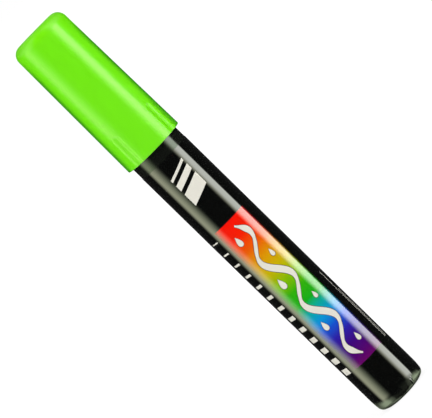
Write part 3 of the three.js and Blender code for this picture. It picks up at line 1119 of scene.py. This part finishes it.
def inkPiece(name, outlines, finish, lift, thickness):
    # flat shapes, given as distance round the film and level, laid round it as thin closed skins
    s = inkSizes
    bm = bmesh.new()
    for points in outlines:
        addOutline(bm, points)
    strips = int(max(abs(vert.co.x) for vert in bm.verts) / s["stripWidth"])
    for step in range(-strips - 1, strips + 2):
        bmesh.ops.bisect_plane(
            bm,
            geom=bm.verts[:] + bm.edges[:] + bm.faces[:],
            dist=1e-5,
            plane_co=(step * s["stripWidth"], 0, 0),
            plane_no=(1, 0, 0),
        )
    lifted = bmesh.ops.extrude_face_region(bm, geom=bm.faces[:])["geom"]
    top = [item for item in lifted if isinstance(item, bmesh.types.BMVert)]
    bmesh.ops.translate(bm, vec=(0, 0, thickness), verts=top)
    base = filmSizes["outer"]
    for vert in bm.verts:
        turn = vert.co.x / base + math.radians(faceTurn)
        radius = base + lift + vert.co.z
        vert.co = (radius * math.sin(turn), -radius * math.cos(turn), vert.co.y)
    bmesh.ops.recalc_face_normals(bm, faces=bm.faces)
    finishPiece(bm, name, "marker_body", finish)


def brushWave(extra):
    # a chisel pen's line: thick where it runs across the pen's angle, thin along it
    s = inkSizes
    pen = math.radians(s["penAngle"])
    left, right = [], []
    for step in range(s["waveSteps"] + 1):
        share = step / s["waveSteps"]
        level = s["waveTop"] + (s["waveBottom"] - s["waveTop"]) * share
        phase = 2 * math.pi * s["waveTurns"] * share
        grow = smooth(share, 0, s["waveEnd"]) * smooth(share, 1, 1 - s["waveEnd"])
        across = s["waveReach"] * math.sin(phase)
        aside = s["waveReach"] * math.cos(phase) * 2 * math.pi * s["waveTurns"]
        down = s["waveBottom"] - s["waveTop"]
        size = math.hypot(aside, down)
        heading = math.atan2(down, aside)
        half = s["waveThin"] + (s["waveThick"] - s["waveThin"]) * abs(math.sin(heading - pen))
        half = half * (s["waveTip"] + (1 - s["waveTip"]) * grow) + extra
        out, up = -down / size, aside / size
        left.append((across + out * half, level + up * half))
        right.append((across - out * half, level - up * half))
    return left + right[::-1]


def dropShape(middle, level, radius, extra):
    # a drop that hangs point up
    s = inkSizes
    tall = s["dropStretch"] * radius + extra
    points = []
    for step in range(s["dropSteps"]):
        turn = 2 * math.pi * step / s["dropSteps"]
        across = (radius + extra) * math.sin(turn) * math.sin(turn / 2) ** s["dropWaist"]
        points.append((middle + across, level + tall * math.cos(turn) + s["dropLift"] * radius))
    return points


def drops(extra):
    # one in each hollow, on the side that the wave turns away from
    s = inkSizes
    length = s["waveTop"] - s["waveBottom"]
    shapes = []
    for index, radius in enumerate(s["dropSizes"]):
        level = s["waveTop"] - length * (index + 0.5) / (2 * s["waveTurns"])
        side = 1 if index % 2 else -1
        shapes.append(dropShape(side * s["dropReach"], level, radius, extra))
    return shapes


def strokeSign():
    s = inkSizes
    half, level = s["signHalf"], s["signTop"]
    shapes = []
    for width in s["signWidths"]:
        left = level - s["signSlant"]
        shapes.append([(-half, left), (-half, left - width), (half, level - width), (half, level)])
        level -= width + s["signGap"]
    return shapes


def bar(left, right, low, high):
    # the corners of an upright rectangle
    return [(left, low), (right, low), (right, high), (left, high)]


def widthRow():
    s = inkSizes
    middle = math.radians(s["rowAngle"]) * filmSizes["outer"]
    left, right = middle - s["rowHalf"], middle + s["rowHalf"]
    pitch = (s["rowTop"] - s["rowBottom"]) / (s["rowCount"] - 1)
    shapes = []
    for index in range(s["rowCount"]):
        level = s["rowTop"] - index * pitch
        width = s["rowThin"] + (s["rowThick"] - s["rowThin"]) * index / (s["rowCount"] - 1)
        shapes.append(bar(left, right, level - width / 2, level + width / 2))
    return shapes


def hairlines():
    s = inkSizes
    left = math.radians(s["hairAngle"]) * filmSizes["outer"]
    top = s["hairTop"]
    shapes = []
    for _ in range(2):
        shapes.append(bar(left, left + s["hairWidth"], s["hairBottom"], top))
        left += s["hairShift"]
        top -= s["hairLower"]
    return shapes


def labelInk():
    s = inkSizes
    keyline, lift, under, thick = s["keyline"], s["lift"], s["keylineThickness"], s["thickness"]
    inkPiece("waveKeyline", [brushWave(keyline)], "keyline", lift, under)
    inkPiece("dropKeylines", drops(keyline), "keyline", lift, under)
    inkPiece("brushWave", [brushWave(0)], "light", lift + under, thick)
    inkPiece("paintDrops", drops(0), "light", lift + under, thick)
    inkPiece("strokeSign", strokeSign(), "light", lift, thick)
    inkPiece("widthRow", widthRow(), "light", lift, thick)
    inkPiece("hairlines", hairlines(), "light", lift, thick)


# depths are below the barrel's mouth
frontSizes = {
    "plugRadius": 7.2,
    "plugBore": 5.57,
    "grooveRadius": 6.17,
    "ringDepth": 7.0,
    "grooveWidth": 1.4,
    "snapDepth": 2.2,
    "snapWidth": 1.2,
    "snapRise": 0.18,
    "collarRadius": 6.7,
    "collarRound": 1.0,
    "holderBore": 4.65,
    "shoulderDepth": 3.55,
    "steps": 192,
}


def frontSection():
    s = frontSizes
    low = span("front_section")[0]
    ring = mouthLevel - s["ringDepth"]
    half = s["grooveWidth"] / 2
    snap = mouthLevel - s["snapDepth"]
    shoulder = mouthLevel - s["shoulderDepth"]
    corners = [
        (s["plugBore"], low),
        (s["plugRadius"], low, 0.25, 4),
        (s["plugRadius"], ring - half, 0.06, 2),
        (s["grooveRadius"], ring - half, 0.1, 2),
        (s["grooveRadius"], ring + half, 0.1, 2),
        (s["plugRadius"], ring + half, 0.06, 2),
        (s["plugRadius"], snap - s["snapWidth"] / 2),
        (s["plugRadius"] + s["snapRise"], snap),
        (s["plugRadius"], snap + s["snapWidth"] / 2),
        (s["plugRadius"], mouthLevel),
        (s["collarRadius"], mouthLevel, 0.12, 3),
        (s["collarRadius"], collarTopLevel, s["collarRound"], 10),
        (s["holderBore"], collarTopLevel, 0.12, 3),
        (s["holderBore"], shoulder),
        (s["plugBore"], shoulder),
    ]
    bm = turned(corners, s["steps"], True)
    finishPiece(bm, "frontSection", "marker_body", "front", ["front_section"])


ringSizes = {"section": 0.5, "outer": 7.21, "sides": 24, "steps": 160}


def frontSealRing():
    s = ringSizes
    low, high = span("front_seal_ring")
    bm = bmesh.new()
    circle = bmesh.ops.create_circle(bm, segments=s["sides"], radius=s["section"])["verts"]
    bmesh.ops.rotate(bm, cent=origin, matrix=Matrix.Rotation(math.pi / 2, 3, "X"), verts=circle)
    bmesh.ops.translate(bm, vec=(s["outer"] - s["section"], 0, (low + high) / 2), verts=circle)
    spinRound(bm, s["steps"])
    finishPiece(
        bm, "frontSealRing", "marker_body", "rubber", ["front_seal_ring"], 60
    )


holderSizes = {
    "bore": 3.6,
    "radius": 4.6,
    "flangeRadius": 5.52,
    "flangeThickness": 1.4,
    "topRound": 0.35,
    "grooveCount": 4,
    "grooveWidth": 0.9,
    "grooveDepth": 0.4,
    "steps": 200,
}


def nibHolder():
    s = holderSizes
    flangeTop = holderLowLevel + s["flangeThickness"]
    corners = [
        (s["bore"], holderLowLevel),
        (s["flangeRadius"], holderLowLevel, 0.2, 3),
        (s["flangeRadius"], flangeTop, 0.06, 2),
        (s["radius"], flangeTop),
        (s["radius"], holderTopLevel, s["topRound"], 6),
        (s["bore"], holderTopLevel),
    ]
    bm = turned(corners, s["steps"], True)
    quarter = 360 / s["grooveCount"]
    halfAngle = math.degrees(s["grooveWidth"] / 2 / s["bore"]) + 0.1
    for vert in bm.verts:
        angle = angleAt(vert.co)
        aside = abs(angle - quarter * round(angle / quarter))
        if math.hypot(vert.co.x, vert.co.y) < s["bore"] + 0.05 and aside < halfAngle:
            pushOut(vert, s["grooveDepth"])
    finishPiece(bm, "nibHolder", "marker_body", "holder", ["nib_holder"])


nibSizes = {
    "radius": 3.45,
    "slant": 28.0,
    "wedge": 27.0,
    "edgeThickness": 1.3,
    "rearChamfer": 0.6,
    "voxel": 0.16,
    "softening": 3,
    # the felt's uneven face: how far it goes, its waves for each millimetre, and their kind
    "nap": 0.035,
    "napScale": (4.2, 4.2, 1.1),
    "napFractal": (0.6, 2.1, 4),
    "steps": 96,
}


def cutAway(bm, point, normal):
    # takes off what lies past a plane and closes the cut
    cut = bmesh.ops.bisect_plane(
        bm,
        geom=bm.verts[:] + bm.edges[:] + bm.faces[:],
        plane_co=point,
        plane_no=normal,
        clear_outer=True,
    )
    edges = [item for item in cut["geom_cut"] if isinstance(item, bmesh.types.BMEdge)]
    bmesh.ops.edgenet_fill(bm, edges=edges)
    bmesh.ops.recalc_face_normals(bm, faces=bm.faces)


def remeshed(bm, voxel):
    # an even mesh over a closed shape, for a surface that is felted
    rough = objectFrom(bm, "rough")
    modifier = rough.modifiers.new("even", "REMESH")
    modifier.mode = "VOXEL"
    modifier.voxel_size = voxel
    modifier.adaptivity = 0
    even = shapeOf(rough)
    bpy.data.objects.remove(rough)
    return even


def nibFelt():
    s = nibSizes
    corners = [
        (0, nibLowLevel),
        (s["radius"], nibLowLevel, s["rearChamfer"], 4),
        (s["radius"], nibTipLevel + 1),
        (0, nibTipLevel + 1),
    ]
    bm = turned(corners, s["steps"])
    lean = Matrix.Rotation(math.radians(s["slant"]), 3, "Y")
    wedge = math.radians(s["wedge"])
    middle = nibTipLevel - s["radius"] * math.tan(math.radians(s["slant"]))
    cutAway(bm, (0, 0, middle), lean @ Vector(axisUp))
    for side in (-1, 1):
        normal = lean @ Vector((0, side * math.cos(wedge), math.sin(wedge)))
        cutAway(bm, (0, side * s["edgeThickness"] / 2, middle), normal)
    bm = remeshed(bm, s["voxel"])
    for _ in range(s["softening"]):
        bmesh.ops.smooth_vert(
            bm, verts=bm.verts, factor=0.5, use_axis_x=True, use_axis_y=True, use_axis_z=True
        )
    bm.normal_update()
    for vert in bm.verts:
        point = Vector([place * scale for place, scale in zip(vert.co, s["napScale"])])
        lift = s["nap"] * noise.fractal(point, *s["napFractal"])
        vert.co += vert.normal * (lift - s["nap"] * 0.5)
    finishPiece(bm, "nibFelt", "writing_nib", "felt", ["nib"], 70)


valveSizes = {
    "portRadius": 2.7,
    "portChamfer": 0.45,
    "skirtInner": 4.65,
    "skirtOuter": 5.65,
    "flangeRadius": 7.2,
    "flangeThickness": 1.5,
    "flangeRound": 0.3,
    "gasketInner": 2.85,
    "gasketOuter": 4.6,
    "lipRound": 0.16,
    "steps": 192,
}


def valveHousing():
    s = valveSizes
    low, top = span("valve_housing")
    flange = top - s["flangeThickness"]
    corners = [
        (s["portRadius"], flange, 0.12, 3),
        (s["skirtInner"], flange, 0.1, 2),
        (s["skirtInner"], low, 0.12, 3),
        (s["skirtOuter"], low, 0.25, 5),
        (s["skirtOuter"], flange, 0.1, 2),
        (s["flangeRadius"], flange, 0.12, 3),
        (s["flangeRadius"], top, s["flangeRound"], 6),
        (s["portRadius"] + s["portChamfer"], top, 0.1, 3),
        (s["portRadius"], top - s["portChamfer"], 0.1, 3),
    ]
    bm = turned(corners, s["steps"], True)
    finishPiece(bm, "valveHousing", "marker_body", "valve", ["valve_housing"])


def valveGasket():
    s = valveSizes
    low, top = span("valve_gasket")
    corners = [
        (s["gasketInner"], low, s["lipRound"], 5),
        (s["gasketOuter"], low, 0.1, 3),
        (s["gasketOuter"], top, 0.1, 3),
        (s["gasketInner"], top, s["lipRound"], 5),
    ]
    bm = turned(corners, s["steps"], True)
    finishPiece(bm, "valveGasket", "marker_body", "rubber", ["valve_gasket"], 60)


stemSizes = {
    "guideRadius": 1.6,
    "guideChamfer": 0.5,
    "discRadius": 3.9,
    "discLevel": 93.15,
    "discThickness": 1.2,
    "lip": 0.2,
    "finReach": 2.4,
    "finThickness": 0.8,
    "finEdge": 0.08,
    "padThickness": 0.9,
    "padRound": 0.25,
    "footRound": 0.3,
    "steps": 128,
}


def solidFrom(bm, others, operation):
    # adds closed shapes to the first, or takes them from it
    objects = [objectFrom(shape, "shape") for shape in [bm, *others]]
    for other in objects[1:]:
        modifier = objects[0].modifiers.new("with", "BOOLEAN")
        modifier.operation = operation
        modifier.solver = "EXACT"
        modifier.object = other
    result = shapeOf(objects[0])
    for item in objects:
        bpy.data.objects.remove(item)
    bmesh.ops.remove_doubles(result, verts=result.verts, dist=1e-5)
    bmesh.ops.recalc_face_normals(result, faces=result.faces)
    return result


def roundedBlock(size, middle, edge, upright=False):
    # a block with its edges rounded, or only its upright ones
    bm = bmesh.new()
    bmesh.ops.create_cube(bm, size=1)
    bmesh.ops.scale(bm, vec=size, verts=bm.verts)
    edges = [
        item for item in bm.edges
        if not upright or abs(item.verts[0].co.z - item.verts[1].co.z) > size[2] / 2
    ]
    bmesh.ops.bevel(
        bm,
        geom=edges,
        offset=edge,
        offset_type="OFFSET",
        affect="EDGES",
        segments=3,
        profile=0.5,
        material=-1,
    )
    bmesh.ops.translate(bm, vec=middle, verts=bm.verts)
    return bm


def valveStem():
    s = stemSizes
    low, top = span("valve_stem")
    discTop = s["discLevel"] + s["discThickness"]
    disc = turned(
        [
            (0, low),
            (s["guideRadius"] - s["guideChamfer"], low, 0.12, 3),
            (s["guideRadius"], low + s["guideChamfer"], 0.12, 3),
            (s["guideRadius"], s["discLevel"], s["footRound"], 5),
            (s["discRadius"], s["discLevel"], 0.2, 5),
            (s["discRadius"], discTop + s["lip"], 0.08, 3),
            (s["discRadius"] - s["lip"], discTop + s["lip"], 0.08, 3),
            (s["discRadius"] - 2 * s["lip"], discTop, 0.08, 2),
            (0, discTop),
        ],
        s["steps"],
    )
    padLow = top - s["padThickness"]
    pad = turned(
        [
            (0, padLow),
            (s["finReach"], padLow, 0.08, 2),
            (s["finReach"], top, s["padRound"], 6),
            (s["finReach"] / 2, top, 0.2, 3),
            (s["finReach"] / 2 - 0.15, top - 0.1, 0.2, 3),
            (0, top - 0.1),
        ],
        s["steps"],
    )
    finLow = s["discLevel"] + s["discThickness"] / 2
    height = top - s["padThickness"] / 2 - finLow
    # the fins end just inside the pad's rim
    reach = 2 * s["finReach"] - 0.04
    middle = (0, 0, finLow + height / 2)
    fins = [
        roundedBlock((reach, s["finThickness"], height), middle, s["finEdge"], True),
        roundedBlock((s["finThickness"], reach, height), middle, s["finEdge"], True),
    ]
    bm = solidFrom(disc, [*fins, pad], "UNION")
    finishPiece(bm, "valveStem", "stem", "valve", ["valve_stem"])


springSizes = {
    "coilRadius": 2.6,
    "wireRadius": 0.25,
    "wireSides": 16,
    "closePitch": 0.95,
    "closeTurns": 1,
    "liveTurns": 5,
    "turnSteps": 48,
    "pressedShare": 0.763,
}


def valveSpring():
    # one wire, screwed up through close turns, live ones and close ones
    s = springSizes
    low, top = span("valve_spring")
    rise = top - low - 2 * s["wireRadius"] - 2 * s["closeTurns"] * s["closePitch"]
    livePitch = rise / s["liveTurns"]
    bm = bmesh.new()
    bmesh.ops.create_circle(bm, segments=s["wireSides"], radius=s["wireRadius"])
    bmesh.ops.rotate(bm, cent=origin, matrix=Matrix.Rotation(math.pi / 2, 3, "X"), verts=bm.verts)
    bmesh.ops.translate(bm, vec=(s["coilRadius"], 0, low + s["wireRadius"]), verts=bm.verts)
    last = bm.verts[:] + bm.edges[:]
    for turns, pitch in (
        (s["closeTurns"], s["closePitch"]),
        (s["liveTurns"], livePitch),
        (s["closeTurns"], s["closePitch"]),
    ):
        last = bmesh.ops.spin(
            bm,
            geom=last,
            cent=origin,
            axis=axisUp,
            dvec=(0, 0, pitch / s["turnSteps"]),
            angle=2 * math.pi * turns,
            steps=turns * s["turnSteps"],
        )["geom_last"]
    bmesh.ops.holes_fill(bm, edges=[edge for edge in bm.edges if edge.is_boundary], sides=0)
    bmesh.ops.recalc_face_normals(bm, faces=bm.faces)
    piece = finishPiece(
        bm, "valveSpring", "marker_body", "spring", ["valve_spring"], 50
    )
    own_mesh(piece)


cageSizes = {
    "guideHole": 1.9,
    "inner": 3.7,
    "outer": 4.5,
    "footRound": 0.6,
    "floorThickness": 1.2,
    "shoulderLevel": 89.95,
    "ledgeLevel": 90.75,
    "shoulderRound": 0.3,
    "cuffInner": 5.7,
    "cuffOuter": 6.3,
    "windowWidth": 3.2,
    "windowSill": 0.3,
    "windowMargin": 0.9,
    "windowRound": 0.35,
    "windowCount": 4,
    "steps": 192,
}


def valveCage():
    s = cageSizes
    low, top = span("valve_cage")
    floorTop = low + s["floorThickness"]
    body = turned(
        [
            (s["guideHole"], low, 0.1, 2),
            (s["outer"], low, s["footRound"], 8),
            (s["outer"], s["shoulderLevel"], 0.15, 3),
            (s["cuffOuter"], s["shoulderLevel"], s["shoulderRound"], 5),
            (s["cuffOuter"], top, 0.12, 3),
            (s["cuffInner"], top, 0.18, 3),
            (s["cuffInner"], s["ledgeLevel"], 0.1, 2),
            (s["inner"], s["ledgeLevel"], 0.1, 2),
            (s["inner"], floorTop, 0.25, 4),
            (s["guideHole"], floorTop, 0.1, 2),
        ],
        s["steps"],
        True,
    )
    windowLow = floorTop + s["windowSill"]
    height = s["ledgeLevel"] - s["windowMargin"] - windowLow
    size = (height, s["windowWidth"], s["outer"])
    lying = Matrix.Rotation(math.pi / 2, 3, "Y")
    windows = []
    for index in range(s["windowCount"]):
        # a block that stands is laid down, so that its rounded edges run outwards
        cutter = roundedBlock(size, origin, s["windowRound"], True)
        bmesh.ops.rotate(cutter, cent=origin, matrix=lying, verts=cutter.verts)
        bmesh.ops.translate(cutter, vec=(s["outer"], 0, windowLow + height / 2), verts=cutter.verts)
        place = Matrix.Rotation(2 * math.pi * index / s["windowCount"], 3, "Z")
        bmesh.ops.rotate(cutter, cent=origin, matrix=place, verts=cutter.verts)
        windows.append(cutter)
    bm = solidFrom(body, windows, "DIFFERENCE")
    finishPiece(bm, "valveCage", "marker_body", "valve", ["valve_cage"])


ballSizes = {"subdivisions": 5}


def mixingBalls():
    for number in (1, 2):
        node = "mixing_ball_%d" % number
        low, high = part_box(node)
        bm = bmesh.new()
        radius = (high.z - low.z) / mm / 2
        bmesh.ops.create_icosphere(bm, subdivisions=ballSizes["subdivisions"], radius=radius)
        bmesh.ops.translate(bm, vec=(low + high) / mm / 2, verts=bm.verts)
        finishPiece(bm, "mixingBall%d" % number, "ball_%d" % number, "ball", [node])


capShell()
capSeal()
print("cap made")
barrelBody()
labelFilm()
labelInk()
print("barrel, film and ink made")
frontSection()
frontSealRing()
nibHolder()
nibFelt()
print("front end made")
valveHousing()
valveGasket()
valveStem()
valveSpring()
valveCage()
mixingBalls()
print("valve and balls made")


studio = {
    "white": (1.0, 1.0, 1.0, 1.0),
    # what lights the marker from all round, and what its gloss shows everywhere
    "fill": 0.12,
    "glossFill": 0.02,
    # a bright band on each side: strength, tints, and the angles where it rises and falls
    "rightBand": 5.55,
    "rightTint": (0.97, 1.0, 0.91, 1.0),
    "rightInnerTint": (0.97, 1.0, 0.7, 1.0),
    "rightRise": (38.5, 61.5),
    "rightFall": (80.0, 75.0),
    "leftBand": 3.05,
    "leftTint": (0.955, 1.0, 0.69, 1.0),
    "leftInnerTint": (0.87, 1.0, 0.68, 1.0),
    "leftRise": (-38.0, -79.0),
    "leftFall": (-99.0, -80.0),
    # upward share of a direction where both bands rise and fall
    "bandLow": (-0.332, -0.257),
    "bandHigh": (0.42, 0.2),
    # soft light from above and below, faint in the middle and strong at the sides
    "topGlow": 1.7,
    "topRise": (0.05, 0.6),
    "rightLowGlow": 3.4,
    "rightLowRise": (-0.272, -0.367),
    "rightLowSides": (30.0, 80.0),
    "rightLowLean": 0.0,
    "leftLowGlow": 3.0,
    "leftLowRise": (-0.235, -0.3),
    "leftLowSides": (35.0, 85.0),
    "leftLowLean": 0.0012,
    # a lean is how much sooner the low light begins for each degree further round
    "lowLeanFrom": 111.0,
    "lowFall": (-0.42, -0.66),
    "lowShare": 0.38,
    "topTint": (0.87, 1.0, 0.82),
    "lowTint": (0.83, 1.0, 0.66),
    "sideRise": (30.0, 80.0),
    "sideFall": (80.0, 140.0),
    "middleShare": 0.035,
    "sideShare": 0.08,
    "floorSize": 40.0,
    "floorGrain": 40.0,
    "floorTone": srgb(243, 243, 241),
    "floorSecondTone": srgb(247, 247, 246),
    "floorGlow": 1.08,
    "floorShare": 0.8,
    "shadowReach": (0.03, 0.12),
}

# angle from the front, height angle, level at the marker, width and height of the lamp
lamps = {
    "rightLamp": (60, 34, 0.73, 0.5, 0.5),
    "leftLamp": (-62, 30, 0.67, 0.5, 0.5),
    "backLamp": (180, 35, 0.6, 0.7, 0.5),
}
lampDistance = 0.9


def world():
    s = studio
    background = bpy.data.worlds.new("studio")
    bpy.context.scene.world = background
    background.use_nodes = True
    tree = background.node_tree
    ray = tree.nodes.new("ShaderNodeLightPath").outputs
    direction = tree.nodes.new("ShaderNodeTexCoord").outputs["Generated"]
    parts = addNode(tree, "ShaderNodeSeparateXYZ", {0: direction}).outputs
    up = parts["Z"]
    angle = maths(tree, "SUBTRACT", angleOf(tree, parts), faceTurn)
    aside = maths(tree, "ABSOLUTE", angle)
    upDown = maths(tree, "MULTIPLY", ease(tree, up, *s["bandLow"]), ease(tree, up, *s["bandHigh"]))
    behind = ease(tree, aside, *s["sideFall"], 1.0, s["sideShare"])

    def lit(share, level, tint):
        # a tinted light of that level where the share is 1
        share = maths(tree, "MULTIPLY", share, level)
        return vectorMaths(tree, "SCALE", {0: tint, 3: share})[0]

    def band(side):
        rise = ease(tree, angle, *s[side + "Rise"])
        shape = maths(tree, "MULTIPLY", rise, ease(tree, angle, *s[side + "Fall"]))
        tint = blendColour(tree, rise, s[side + "InnerTint"], s[side + "Tint"])
        return lit(maths(tree, "MULTIPLY", shape, upDown), s[side + "Band"], tint)

    def plus(first, second):
        return vectorMaths(tree, "ADD", {0: first, 1: second})[0]

    def sides(glow, rise):
        # faint in the middle and behind
        glow = maths(tree, "MULTIPLY", glow, ease(tree, aside, *rise, s["middleShare"], 1.0))
        return maths(tree, "MULTIPLY", glow, behind)

    top = sides(ease(tree, up, *s["topRise"], 0.0, s["topGlow"]), s["sideRise"])
    mirrored = plus(plus(band("right"), band("left")), lit(top, 1.0, s["topTint"]))
    onRight = maths(tree, "GREATER_THAN", angle, 0.0)
    onLeft = maths(tree, "SUBTRACT", 1.0, onRight)
    inner = maths(tree, "SUBTRACT", s["lowLeanFrom"], aside)
    for side, here in (("right", onRight), ("left", onLeft)):
        lower = maths(tree, "ADD", up, maths(tree, "MULTIPLY", inner, s[side + "LowLean"]))
        low = ease(tree, lower, *s[side + "LowRise"], 0.0, s[side + "LowGlow"])
        low = maths(tree, "MULTIPLY", low, ease(tree, up, *s["lowFall"], 1.0, s["lowShare"]))
        low = maths(tree, "MULTIPLY", sides(low, s[side + "LowSides"]), here)
        mirrored = plus(mirrored, lit(low, 1.0, s["lowTint"]))
    mirrored = plus(mirrored, (s["glossFill"],) * 3)
    # the camera sees white, gloss sees the soft bands, and everything else a plain fill
    mirror = maths(tree, "ADD", ray["Is Glossy Ray"], ray["Is Transmission Ray"], True)
    seen = blendColour(tree, mirror, (s["fill"],) * 3 + (1.0,), mirrored)
    seen = blendColour(tree, ray["Is Camera Ray"], seen, s["white"])
    tree.links.new(seen, tree.nodes["Background"].inputs["Color"])


def floor():
    # white to the camera with a faint shadow, pale to the light, and clear from below
    s = studio
    bm = bmesh.new()
    bmesh.ops.create_grid(bm, x_segments=1, y_segments=1, size=s["floorSize"] / 2)
    plane = objectFrom(bm, "floor")
    material = bpy.data.materials.new("paleFloor")
    material.use_nodes = True
    tree = material.node_tree
    tree.nodes.remove(tree.nodes["Principled BSDF"])
    coords = tree.nodes.new("ShaderNodeTexCoord").outputs["Object"]
    grain = speckle(tree, coords, s["floorGrain"])
    paper = blendColour(tree, grain, s["floorTone"], s["floorSecondTone"])
    matte = addNode(tree, "ShaderNodeBsdfDiffuse", {"Color": paper}).outputs[0]
    glow = addNode(tree, "ShaderNodeEmission", {"Strength": s["floorGlow"]}).outputs[0]
    ray = tree.nodes.new("ShaderNodeLightPath").outputs
    direct = maths(tree, "ADD", ray["Is Camera Ray"], ray["Is Glossy Ray"])
    direct = maths(tree, "ADD", direct, ray["Is Transmission Ray"], True)
    distance = vectorMaths(tree, "LENGTH", {0: coords})["Value"]
    near = ease(tree, distance, *s["shadowReach"], s["floorShare"], 1.0)
    share = maths(tree, "MULTIPLY", direct, near)
    above = addNode(tree, "ShaderNodeMixShader", {0: share, 1: matte, 2: glow}).outputs[0]
    clear = tree.nodes.new("ShaderNodeBsdfTransparent").outputs[0]
    backside = tree.nodes.new("ShaderNodeNewGeometry").outputs["Backfacing"]
    both = addNode(tree, "ShaderNodeMixShader", {0: backside, 1: above, 2: clear}).outputs[0]
    tree.links.new(both, tree.nodes["Material Output"].inputs["Surface"])
    plane.data.materials.append(material)
    plane.visible_glossy = False


def studioLamps():
    middle = Vector((0, 0, capEndLevel * mm / 2))
    for name, (turn, rise, level, width, height) in lamps.items():
        data = bpy.data.lights.new(name, "AREA")
        data.shape = "RECTANGLE"
        data.size = width
        data.size_y = height
        data.energy = level * (math.pi * lampDistance) ** 2
        lamp = bpy.data.objects.new(name, data)
        a, e = math.radians(turn + faceTurn), math.radians(rise)
        back = Vector((math.sin(a) * math.cos(e), -math.cos(a) * math.cos(e), math.sin(e)))
        lamp.location = middle + back * lampDistance
        lamp.rotation_euler = (-back).to_track_quat("-Z", "Y").to_euler()
        lamp.visible_glossy = False
        lamp.visible_camera = False
        bpy.context.scene.collection.objects.link(lamp)


cameraLook = {
    "distance": 0.811,
    "lens": 250.0,
    "rise": 5.8,
    "roll": 45.7,
    # the marker's middle in the picture, in pixels right and up of the picture's middle
    "aimShift": (4.26, -3.75),
    "pixelsAcross": 432,
}


def camera():
    # the marker stands upright, so the camera is rolled to lay it across the picture
    s = cameraLook
    data = bpy.data.cameras.new("camera")
    data.lens = s["lens"]
    data.clip_start, data.clip_end = 0.05, 50
    rise, roll = math.radians(s["rise"]), math.radians(s["roll"])
    face = Matrix.Rotation(math.radians(faceTurn), 3, "Z")
    across = face @ Vector((1, 0, 0))
    up = face @ Vector((0, math.sin(rise), math.cos(rise)))
    forward = face @ Vector((0, math.cos(rise), -math.sin(rise)))
    right = across * math.cos(roll) - up * math.sin(roll)
    top = across * math.sin(roll) + up * math.cos(roll)
    pixel = s["distance"] * data.sensor_width / (data.lens * s["pixelsAcross"])
    aim = Vector((0, 0, capEndLevel * mm / 2))
    place = aim - forward * s["distance"]
    place -= right * s["aimShift"][0] * pixel + top * s["aimShift"][1] * pixel
    turn = Matrix((right, top, -forward)).transposed()
    view = bpy.data.objects.new("camera", data)
    view.matrix_world = Matrix.Translation(place) @ turn.to_4x4()
    bpy.context.scene.collection.objects.link(view)
    bpy.context.scene.camera = view


world()
floor()
studioLamps()
camera()
bpy.context.scene.view_settings.view_transform = "Standard"
print("studio set")
